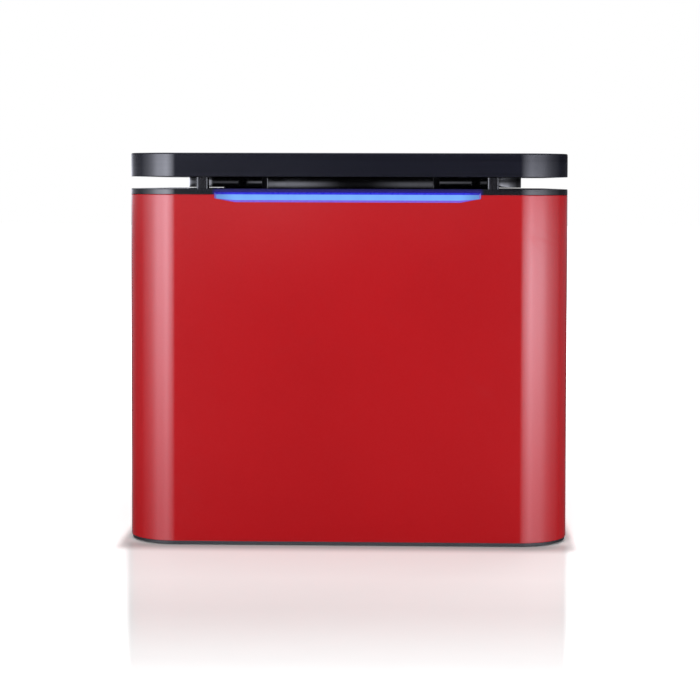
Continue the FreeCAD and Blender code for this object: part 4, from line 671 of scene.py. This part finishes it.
def make_bar():
    """Lit bar: bright lens inside a darker bevelled rim, with the flange behind the sleeve's wall."""
    surface = bmesh.new()
    front, wall, back = BAR_LOW.y, BAR_LOW.y + 2.7 * MM, BAR_HIGH.y
    rings = ((0, wall), (0, front + 0.15 * MM), (0.15 * MM, front), (1.05 * MM, front + 0.35 * MM),
             (1.15 * MM, front + 0.3 * MM))
    loops = [[surface.verts.new((x, y, z)) for x, z in bar_outline(inset)] for inset, y in rings]
    for number, (outer, inner) in enumerate(zip(loops, loops[1:])):
        for i in range(len(outer)):
            j = (i + 1) % len(outer)
            surface.faces.new((outer[i], outer[j], inner[j], inner[i])).material_index = 1
    surface.faces.new(loops[-1])
    surface.faces.new(reversed(loops[0]))
    flange = rounded_rectangle((BAR_LOW.x, BAR_LOW.z), (BAR_HIGH.x, SHELL_HIGH.z), 1.6 * MM)
    ends = [[surface.verts.new((x, y, z)) for x, z in flange] for y in (wall, back)]
    surface.faces.new(ends[0])
    surface.faces.new(reversed(ends[1]))
    for i in range(len(flange)):
        j = (i + 1) % len(flange)
        surface.faces.new((ends[0][j], ends[0][i], ends[1][i], ends[1][j]))
    bmesh.ops.recalc_face_normals(surface, faces=surface.faces)
    settle(new_piece("lit_bar", surface, ["diffuser", "bar_rim"]), "light_bar")


def rim_finish():
    """Rim of the lit bar: deep blue along the deck, with a painted purple reflection of the red paint below
    it.
    """
    material, tree, shader = new_material("bar_rim", (0.02, 0.01, 0.1), IOR=1.49, Emission_Strength=1.0)
    where = coordinates(tree)
    paint_top, deck_foot = 0.1973, 0.1979
    above = remap(tree, where["Z"], paint_top, deck_foot, smooth=True)
    # Below the paint's top the rim's glow is purple, a painted reflection of the red sleeve; above it is the
    # bar's blue light
    glow = blend_colours(tree, above, (0.20, 0.09, 0.70, 1), (0.012, 0.018, 0.72, 1))
    edge = remap(tree, maths(tree, "ABSOLUTE", where["X"]), 0.066, LENS_END, 1.0, 0.45)
    speck = place_group(tree, GRAIN, scale=2600.0, detail=1.0)["Speckle"]
    level = maths(tree, "MULTIPLY", edge, remap(tree, speck, 0, 1, 0.94, 1.0))
    tree.links.new(blend_colours(tree, level, (0, 0, 0, 1), glow), shader.inputs["Emission Color"])
    tree.links.new(remap(tree, speck, 0, 1, 0.25, 0.35), shader.inputs["Roughness"])
    tree.links.new(blend_colours(tree, speck, (0.008, 0.004, 0.05, 1), (0.012, 0.006, 0.06, 1)),
                   shader.inputs["Base Color"])
    return material


FINISHES["bar_rim"] = rim_finish()


# What repeats


def geometry_tree(name, inputs):
    """Empty geometry tree with a geometry input and output and named inputs."""
    tree = bpy.data.node_groups.new(name, "GeometryNodeTree")
    tree.interface.new_socket("Geometry", in_out="INPUT", socket_type="NodeSocketGeometry")
    tree.interface.new_socket("Geometry", in_out="OUTPUT", socket_type="NodeSocketGeometry")
    for label, kind in inputs.items():
        tree.interface.new_socket(label, in_out="INPUT", socket_type="NodeSocket" + kind)
    return tree, add(tree, "NodeGroupInput").outputs, add(tree, "NodeGroupOutput")


def grow(name, tree, points, body, **values):
    """Plain mesh that a tree makes from places and directions."""
    mesh = bpy.data.meshes.new(name)
    mesh.from_pydata([place for place, aim in points], [], [])
    aims = mesh.attributes.new("aim", "FLOAT_VECTOR", "POINT")
    for i, (place, aim) in enumerate(points):
        aims.data[i].vector = aim
    piece = bpy.data.objects.new(name, mesh)
    SCENE.collection.objects.link(piece)
    maker = piece.modifiers.new("maker", "NODES")
    maker.node_group = tree
    for item in tree.interface.items_tree:
        key = item.name.lower().replace(" ", "_")
        if item.in_out == "INPUT" and key in values:
            maker[item.identifier] = values[key]
    as_plain_mesh(piece)
    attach(piece, body)
    return piece


def placed_tree():
    """One finished part at each point, aimed along the point's direction and turned at random on its axis."""
    tree, given, out = geometry_tree("parts at places",
                                     {"Part": "Object", "Most turn": "Float", "Finish": "Material"})
    aim = add(tree, "GeometryNodeInputNamedAttribute", {"Name": "aim"},
              data_type="FLOAT_VECTOR").outputs["Attribute"]
    facing = add(tree, "FunctionNodeAlignRotationToVector", {"Vector": aim}, axis="Z").outputs[0]
    spin = add(tree, "FunctionNodeRandomValue", {2: 0.0, 3: given["Most turn"], "Seed": 7},
               data_type="FLOAT").outputs[1]
    own = add(tree, "FunctionNodeAxisAngleToRotation", {"Axis": (0, 0, 1), "Angle": spin}).outputs[0]
    turned = add(tree, "FunctionNodeRotateRotation", {"Rotation": facing, "Rotate By": own},
                 rotation_space="LOCAL").outputs[0]
    part = add(tree, "GeometryNodeObjectInfo", {"Object": given["Part"]}).outputs["Geometry"]
    copies = add(tree, "GeometryNodeInstanceOnPoints",
                 {"Points": given["Geometry"], "Instance": part, "Rotation": turned}).outputs[0]
    real = add(tree, "GeometryNodeRealizeInstances", {"Geometry": copies}).outputs[0]
    finished = add(tree, "GeometryNodeSetMaterial",
                   {"Geometry": real, "Material": given["Finish"]}).outputs[0]
    tree.links.new(finished, out.inputs[0])
    return tree


def coil_tree():
    """A compression spring at each point, with its length along Z."""
    sizes = ("Coil radius", "Wire radius", "Height", "Turns")
    tree, given, out = geometry_tree("coil springs", {**{s: "Float" for s in sizes}, "Finish": "Material"})
    sockets = {"Resolution": 28, "Rotations": given["Turns"], "Height": given["Height"],
               "Start Radius": given["Coil radius"], "End Radius": given["Coil radius"]}
    line = add(tree, "GeometryNodeCurveSpiral", sockets).outputs[0]
    wire = add(tree, "GeometryNodeCurvePrimitiveCircle",
               {"Resolution": 10, "Radius": given["Wire radius"]}).outputs[0]
    coil = add(tree, "GeometryNodeCurveToMesh",
               {"Curve": line, "Profile Curve": wire, "Fill Caps": True}).outputs[0]
    copies = add(tree, "GeometryNodeInstanceOnPoints",
                 {"Points": given["Geometry"], "Instance": coil}).outputs[0]
    real = add(tree, "GeometryNodeRealizeInstances", {"Geometry": copies}).outputs[0]
    smooth = add(tree, "GeometryNodeSetShadeSmooth", {"Geometry": real}).outputs[0]
    finished = add(tree, "GeometryNodeSetMaterial",
                   {"Geometry": smooth, "Material": given["Finish"]}).outputs[0]
    tree.links.new(finished, out.inputs[0])
    return tree


PLACED, COILS = placed_tree(), coil_tree()


def place_parts(name, node, profile, aim, drive=None, steps=24):
    """A turned part at the outer end of each loose solid of a node, in its place."""
    part = lathe(name + "_part", profile, [], steps=steps, drive=drive)
    for polygon in part.data.polygons:
        polygon.use_smooth = True
    part.data.set_sharp_from_angle(angle=math.radians(30))
    axis = max(range(3), key=lambda i: abs(aim[i]))
    points = []
    for low, high in islands(node):
        spot = (low + high) / 2
        spot[axis] = high[axis] if aim[axis] > 0 else low[axis]
        points.append((spot, aim))
    piece = grow(name, PLACED, points, BODY_OF[node], part=part, most_turn=1.0,
                 finish=FINISHES[SLOT_OF[node]])
    bpy.data.objects.remove(part)
    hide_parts(node)


def countersunk(length, head, shank, socket):
    """Profile of a countersunk socket screw, from the floor of its socket to its tip."""
    flat = head - shank
    return [(0, -0.62 * head), (socket * 0.6, -0.5 * head), (socket, -0.42 * head), (socket, -0.08),
            (socket + 0.12, 0), (head - 0.12, 0), (head, -0.1), (shank, -flat),
            (shank, -length + 0.4), (shank - 0.4, -length), (0, -length)]


def low_head(length, head, height, shank, socket):
    """Profile of a low cylinder-head screw; level 0 is the top of its head."""
    return [(0, -0.75 * height), (socket, -0.6 * height), (socket, -0.06), (socket + 0.1, 0),
            (head - 0.25, 0), (head - 0.06, -0.08), (head, -0.28), (head, -height),
            (shank, -height), (shank, -length), (0, -length)]


def make_fasteners():
    """Every screw set, with a socket in each head."""
    hexagon, shallow = ({1, 2, 3}, 6), ({1, 2}, 6)
    up, down, back = Vector((0, 0, 1)), Vector((0, 0, -1)), Vector((0, 1, 0))
    sunk, leaf = countersunk(11.9, 2.95, 1.5, 1.15), low_head(4.9, 2.6, 0.9, 1.5, 1.0)
    place_parts("base_screw_set", "base_screws", sunk, down, hexagon)
    place_parts("deck_screw_set", "deck_screws", sunk, up, hexagon)
    place_parts("lid_screw_set", "lid_screws", countersunk(7.9, 2.95, 1.5, 1.15), down, hexagon)
    place_parts("panel_screw_set", "panel_screws", countersunk(5.9, 2.18, 1.25, 0.85), back, hexagon)
    place_parts("block_screw_set", "block_screws", low_head(13.0, 2.6, 1.5, 1.5, 1.15), up, shallow)
    place_parts("fixed_leaf_screws", "deck_hinge_screws", leaf, up, shallow)
    place_parts("moving_leaf_screws", "lid_hinge_screws", leaf, down, shallow)
    rings = [(0, -0.12), (2.0, -0.12), (2.3, 0), (3.4, 0), (3.7, -0.12), (5.4, -0.12),
             (5.7, 0), (8.0, 0), (8.6, -0.12), (9.0, -0.5), (9.0, -1.55), (0, -1.55)]
    place_parts("foot_pad_set", "feet", rings, down, steps=40)


def make_springs():
    """Round-wire springs between the lid and the heated plate."""
    boxes = islands("plate_springs")
    low, high = boxes[0]
    wire = 0.4 * MM
    points = [(Vector(((a.x + b.x) / 2, (a.y + b.y) / 2, a.z + wire)), Vector((0, 0, 1))) for a, b in boxes]
    springs = grow("plate_spring_set", COILS, points, BODY_OF["plate_springs"], coil_radius=3.35 * MM,
                   wire_radius=wire, height=high.z - low.z - 2 * wire, turns=2.5,
                   finish=FINISHES["bright_steel"])
    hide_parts("plate_springs")
    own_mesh(springs)


make_sleeve()
make_lid()
make_bar()
make_fasteners()
make_springs()

# Widths of the broken edges, in millimetres
EDGE_WIDTHS = {
    "top_deck": 0.12, "base_plate": 0.2, "hinge_housing": 0.4, "heater_frame": 0.25, "lid_rests": 0.2,
    "well_bezel": 0.2, "sample_block": 0.12, "heated_plate": 0.2, "lid_base": 0.1, "rear_panel": 0.1,
    "mains_inlet": 0.25, "switch_frame": 0.2, "power_rocker": 0.25, "deck_hinges": 0.1, "lid_hinges": 0.1,
    "fan_frame": 0.2, "fan_rotor": 0.15, "rear_ports": 0.1, "inlet_pins": 0.2, "heater_mat": 0.05,
    "hinge_pins": 0.1, "power_supply": 0.2, "guide_blocks": 0.1, "exhaust_duct": 0.15,
}
for node, width in EDGE_WIDTHS.items():
    dressed = refined(node, width)
    if node == "heater_frame":
        matt_corners(dressed)

for node, solid in frame["nodes"].items():
    if not solid.material_slots:
        solid.data.materials.append(None)
    for place in solid.material_slots:
        place.link = "OBJECT"
        place.material = FINISHES[SLOT_OF[node]]


# Studio


def stage_plane(name, corners, material, **seen):
    """Flat stage card; it is hidden from the kinds of ray that are set to False."""
    mesh = bpy.data.meshes.new(name)
    mesh.from_pydata(corners, [], [tuple(range(len(corners)))])
    card = bpy.data.objects.new(name, mesh)
    SCENE.collection.objects.link(card)
    mesh.materials.append(material)
    for label, value in seen.items():
        setattr(card, "visible_" + label, value)


FLAG_X, FLAG_TOP = 0.30, 0.199

# Lift of the floor by the distance from the part: from and to, in metres, then the lifts there
# The small lift close to the part paints shadow over the real one; MIRROR_DIP paints shade under the mirror
# image
SHADOW_LIFT, FAR_LIFT = (0.001, 0.022, 0.02, 0.56), (0.16, 0.7, 0.0, 0.44)
MIRROR_DIP = (0.09, 0.26, 0.0, 0.37)
# Strength of the mirror image, and the spans in metres over which it and the painted shade under it come and
# go
MIRROR, MIRROR_IN, MIRROR_OUT, MIRROR_SIDE = 0.36, (-0.43, -0.27), (-0.120, -0.105), (0.121, 0.1275)
DIP_IN = (-0.55, -0.44)

# Light that the gloss shows: places from 0 to 1 and the brightness there
SOFTBOXES = ((0.0, 0.0006), (0.07, 0.0006), (0.095, 0.375), (0.111, 0.53), (0.175, 1.0), (0.232, 0.81),
             (0.295, 0.75), (0.38, 0.33), (0.45, 0.17), (0.56, 0.03), (0.68, 0.02), (0.80, 0.04),
             (0.87, 0.10), (1.0, 0.10))
FRONT_BAND = ((0.0, 0.2), (0.25, 0.25), (0.38, 1.0), (0.50, 0.02), (0.58, 0.02), (0.66, 0.36),
              (0.76, 0.4), (1.0, 0.0))
LEFT_LEVEL, RIGHT_LEVEL, BAND_LEVEL, TOP_LEVEL, PLAIN_LEVEL = 9.6, 11.8, 5.0, 0.9, 0.265


def floor_material():
    """White floor that keeps the shadow and mirrors the part softly just in front of it.

    For the camera the floor is lifted to the backdrop's white. It is lifted less close to the part, where its
    real shadow lies, which paints a deeper shadow there, and less under the mirror image, which paints shade
    under it.
    The mirror image ends at the eye's lines past the part's two sides.
    """
    material, tree = empty_material("floor_white")
    where = add(tree, "ShaderNodeTexCoord").outputs["Object"]
    noise = add(tree, "ShaderNodeTexNoise", {"Vector": where, "Scale": 40.0, "Detail": 2.0}).outputs["Fac"]
    white = blend_colours(tree, noise, (0.80, 0.80, 0.80, 1), (0.82, 0.82, 0.82, 1))
    matt = add(tree, "ShaderNodeBsdfDiffuse", {"Color": white}).outputs[0]
    camera = add(tree, "ShaderNodeLightPath").outputs["Is Camera Ray"]
    spot = add(tree, "ShaderNodeSeparateXYZ", {0: where}).outputs
    past = [maths(tree, "MULTIPLY", maths(tree, "SUBTRACT", maths(tree, "ABSOLUTE", spot[axis]), half),
                  stretch)
            for axis, half, stretch in (("X", SHELL_HIGH.x, 3.0), ("Y", SHELL_HIGH.y, 1.0))]
    past = [maths(tree, "MAXIMUM", side, 0.0) for side in past]
    gap = maths(tree, "SQRT", maths(tree, "ADD", *[maths(tree, "MULTIPLY", side, side) for side in past]))
    # Painted shadow: less lift close to the part deepens its real shadow
    near = remap(tree, gap, *SHADOW_LIFT, smooth=True)
    far = remap(tree, gap, *FAR_LIFT, smooth=True)
    lift = maths(tree, "ADD", near, far)
    gloss = add(tree, "ShaderNodeBsdfGlossy",
                {"Color": (0.56, 0.62, 0.62, 1), "Roughness": 0.12}).outputs[0]
    share = maths(tree, "MINIMUM", remap(tree, spot["Y"], *MIRROR_IN, 0.0, MIRROR, smooth=True),
                  remap(tree, spot["Y"], *MIRROR_OUT, MIRROR, 0.0, smooth=True))
    aside, ahead = (maths(tree, "SUBTRACT", spot[axis], EYE[i]) for i, axis in enumerate("XY"))
    across = maths(tree, "MULTIPLY_ADD", maths(tree, "DIVIDE", aside, ahead), SHELL_LOW.y - EYE.y, EYE.x)
    inside = remap(tree, maths(tree, "ABSOLUTE", across), *MIRROR_SIDE, 1.0, 0.0, smooth=True)
    share = maths(tree, "MULTIPLY", share, inside)
    ahead_only = maths(tree, "MULTIPLY", maths(tree, "LESS_THAN", spot["Y"], SHELL_LOW.y),
                       remap(tree, spot["Y"], *DIP_IN, smooth=True))
    mirrored = maths(tree, "MULTIPLY", inside, ahead_only)
    # Painted shade: the floor is lifted less under the mirror image
    painted_dip = maths(tree, "MULTIPLY", remap(tree, gap, *MIRROR_DIP), mirrored)
    lift = maths(tree, "MULTIPLY", camera, maths(tree, "SUBTRACT", lift, painted_dip))
    glow = add(tree, "ShaderNodeEmission", {"Strength": lift}).outputs[0]
    base = add(tree, "ShaderNodeAddShader", {0: matt, 1: glow}).outputs[0]
    mixed = add(tree, "ShaderNodeMixShader", {0: share, 1: base, 2: gloss}).outputs[0]
    add(tree, "ShaderNodeOutputMaterial", {"Surface": mixed})
    return material


def black_card():
    """Unlit black cloth of the studio's flags, thin towards its front and top edges."""
    material, tree = empty_material("flag_black")
    spot = coordinates(tree)
    cloth = maths(tree, "MULTIPLY", remap(tree, spot["Y"], 0.05, 0.36, smooth=True),
                  remap(tree, spot["Z"], 0.13, FLAG_TOP, 1.0, 0.0, smooth=True))
    clear = add(tree, "ShaderNodeBsdfTransparent").outputs[0]
    glow = add(tree, "ShaderNodeEmission", {"Color": (0.01, 0.01, 0.01, 1), "Strength": 1.0}).outputs[0]
    mixed = add(tree, "ShaderNodeMixShader", {0: cloth, 1: clear, 2: glow}).outputs[0]
    add(tree, "ShaderNodeOutputMaterial", {"Surface": mixed})
    return material


def levels(tree, value, stops):
    """A brightness that runs through stops of place and level; the top level is 1."""
    ramp = add(tree, "ShaderNodeValToRGB", {"Fac": value})
    marks = ramp.color_ramp.elements
    for place, level in stops[1:-1]:
        marks.new(place).color = (level, level, level, 1)
    for mark, (place, level) in ((marks[0], stops[0]), (marks[len(marks) - 1], stops[-1])):
        mark.position, mark.color = place, (level, level, level, 1)
    return ramp.outputs["Color"]


def studio_world():
    """White backdrop for what the camera sees, a plain level for the light, and softboxes for the gloss.

    The softboxes run round the horizon, from the front (0) to the back (1), a little wider on the right.
    They are bright near eye level and fall off above and below it. A thin front band lights the low gap.
    """
    world = bpy.data.worlds.new("studio")
    world.use_nodes = True
    tree = world.node_tree
    tree.nodes.clear()
    path = add(tree, "ShaderNodeLightPath").outputs
    way = coordinates(tree, "Generated")
    turn = maths(tree, "ARCTAN2", way["X"], maths(tree, "MULTIPLY", way["Y"], -1.0))
    right = maths(tree, "GREATER_THAN", turn, 0.0)
    around = maths(tree, "DIVIDE", maths(tree, "ABSOLUTE", turn), math.pi)
    around = maths(tree, "MULTIPLY", around, remap(tree, right, 0, 1, 1.0, 0.834))
    around = maths(tree, "ADD", around, remap(tree, right, 0, 1, 0.022, 0.044))
    boxes = levels(tree, around, SOFTBOXES)
    start, end = remap(tree, right, 0, 1, 0.03, -0.028), remap(tree, right, 0, 1, 0.15, 0.006)
    top = remap(tree, way["Z"], start, end, 1.0, 0.08)
    fall = maths(tree, "MINIMUM", remap(tree, way["Z"], -0.17, -0.02, 0.23, 1.0), top)
    brightness = remap(tree, right, 0, 1, LEFT_LEVEL, RIGHT_LEVEL)
    sides = maths(tree, "MULTIPLY", maths(tree, "MULTIPLY", boxes, fall), brightness)
    narrow = remap(tree, turn, math.radians(-8), math.radians(4))
    band = levels(tree, narrow, FRONT_BAND)
    near_level = remap(tree, maths(tree, "ABSOLUTE", way["Z"]), 0.003, 0.009, BAND_LEVEL, 0.0)
    sides = maths(tree, "ADD", sides, maths(tree, "MULTIPLY", band, near_level))
    overhead = remap(tree, way["Z"], 0.35, 0.75, smooth=True)
    glossy = add(tree, "ShaderNodeMix", {"Factor": overhead, 2: sides, 3: TOP_LEVEL},
                 data_type="FLOAT").outputs[0]
    level = add(tree, "ShaderNodeMix", {"Factor": path["Is Glossy Ray"], 2: PLAIN_LEVEL, 3: glossy},
                data_type="FLOAT").outputs[0]
    seen = maths(tree, "MAXIMUM", path["Is Camera Ray"], path["Is Transmission Ray"])
    level = add(tree, "ShaderNodeMix", {"Factor": seen, 2: level, 3: 1.0}, data_type="FLOAT").outputs[0]
    tint = blend_colours(tree, path["Is Glossy Ray"], (1, 1, 1, 1), (0.95, 0.97, 1.1, 1))
    back = add(tree, "ShaderNodeBackground", {"Color": tint, "Strength": level}).outputs[0]
    add(tree, "ShaderNodeOutputWorld", {"Surface": back})
    SCENE.world = world


def softbox(name, place, target, size, power):
    """Area lamp that lights without showing in the gloss."""
    lamp = bpy.data.lights.new(name, "AREA")
    lamp.shape, lamp.size, lamp.size_y, lamp.energy = "RECTANGLE", size[0], size[1], power
    holder = bpy.data.objects.new(name, lamp)
    SCENE.collection.objects.link(holder)
    holder.location = place
    holder.rotation_euler = (Vector(target) - Vector(place)).to_track_quat("-Z", "Y").to_euler()
    holder.visible_glossy = False
    holder.visible_camera = False


def make_studio():
    """Floor, flags, lamps and world."""
    stage_plane("floor", [(-6, -4, 0), (6, -4, 0), (6, 8, 0), (-6, 8, 0)], floor_material(), glossy=False)
    card = black_card()
    hidden = {"camera": False, "diffuse": False, "shadow": False, "transmission": False}
    for side, x in (("left", -FLAG_X), ("right", FLAG_X)):
        corners = [(x, 0.05, 0.0), (x, 0.9, 0.0), (x, 0.9, FLAG_TOP), (x, 0.05, FLAG_TOP)]
        stage_plane("flag_" + side, corners, card, **hidden)
    studio_world()
    softbox("key_front", (-0.24, -0.80, 0.78), (0, -0.12, 0.17), (0.6, 0.4), 4.2)
    softbox("low_front", (-0.35, -1.25, 0.22), (0, -0.1, 0.2), (0.5, 0.12), 1.1)
    softbox("fill_right", (1.6, -0.7, 0.5), (0, -0.1, 0.1), (1.0, 1.0), 9.0)
    softbox("fill_left", (-1.5, -0.7, 0.2), (0, -0.1, 0.08), (0.8, 0.3), 3.5)
    softbox("rear_light", (0.7, 1.5, 1.0), (0, 0.1, 0.1), (1.2, 1.2), 13)
    softbox("top_light", (0, 0.4, 1.8), (0, 0, 0.1), (1.4, 1.4), 9)


def make_camera():
    """Camera at the photograph's place."""
    lens = bpy.data.cameras.new("photo_camera")
    lens.sensor_width, lens.lens = 36.0, 99.35
    lens.shift_x, lens.shift_y = 0.0, -0.14
    lens.clip_start, lens.clip_end = 0.05, 50
    camera = bpy.data.objects.new("photo_camera", lens)
    SCENE.collection.objects.link(camera)
    camera.location = EYE
    yaw, pitch, roll = (math.radians(angle) for angle in (1.668, -2.06, 0.142))
    tilted = Matrix.Rotation(math.pi / 2 + pitch, 3, "X")
    turned = Matrix.Rotation(yaw, 3, "Z") @ tilted @ Matrix.Rotation(roll, 3, "Z")
    camera.rotation_euler = turned.to_euler()
    SCENE.camera = camera


make_studio()
make_camera()
SCENE.view_settings.view_transform = "Standard"
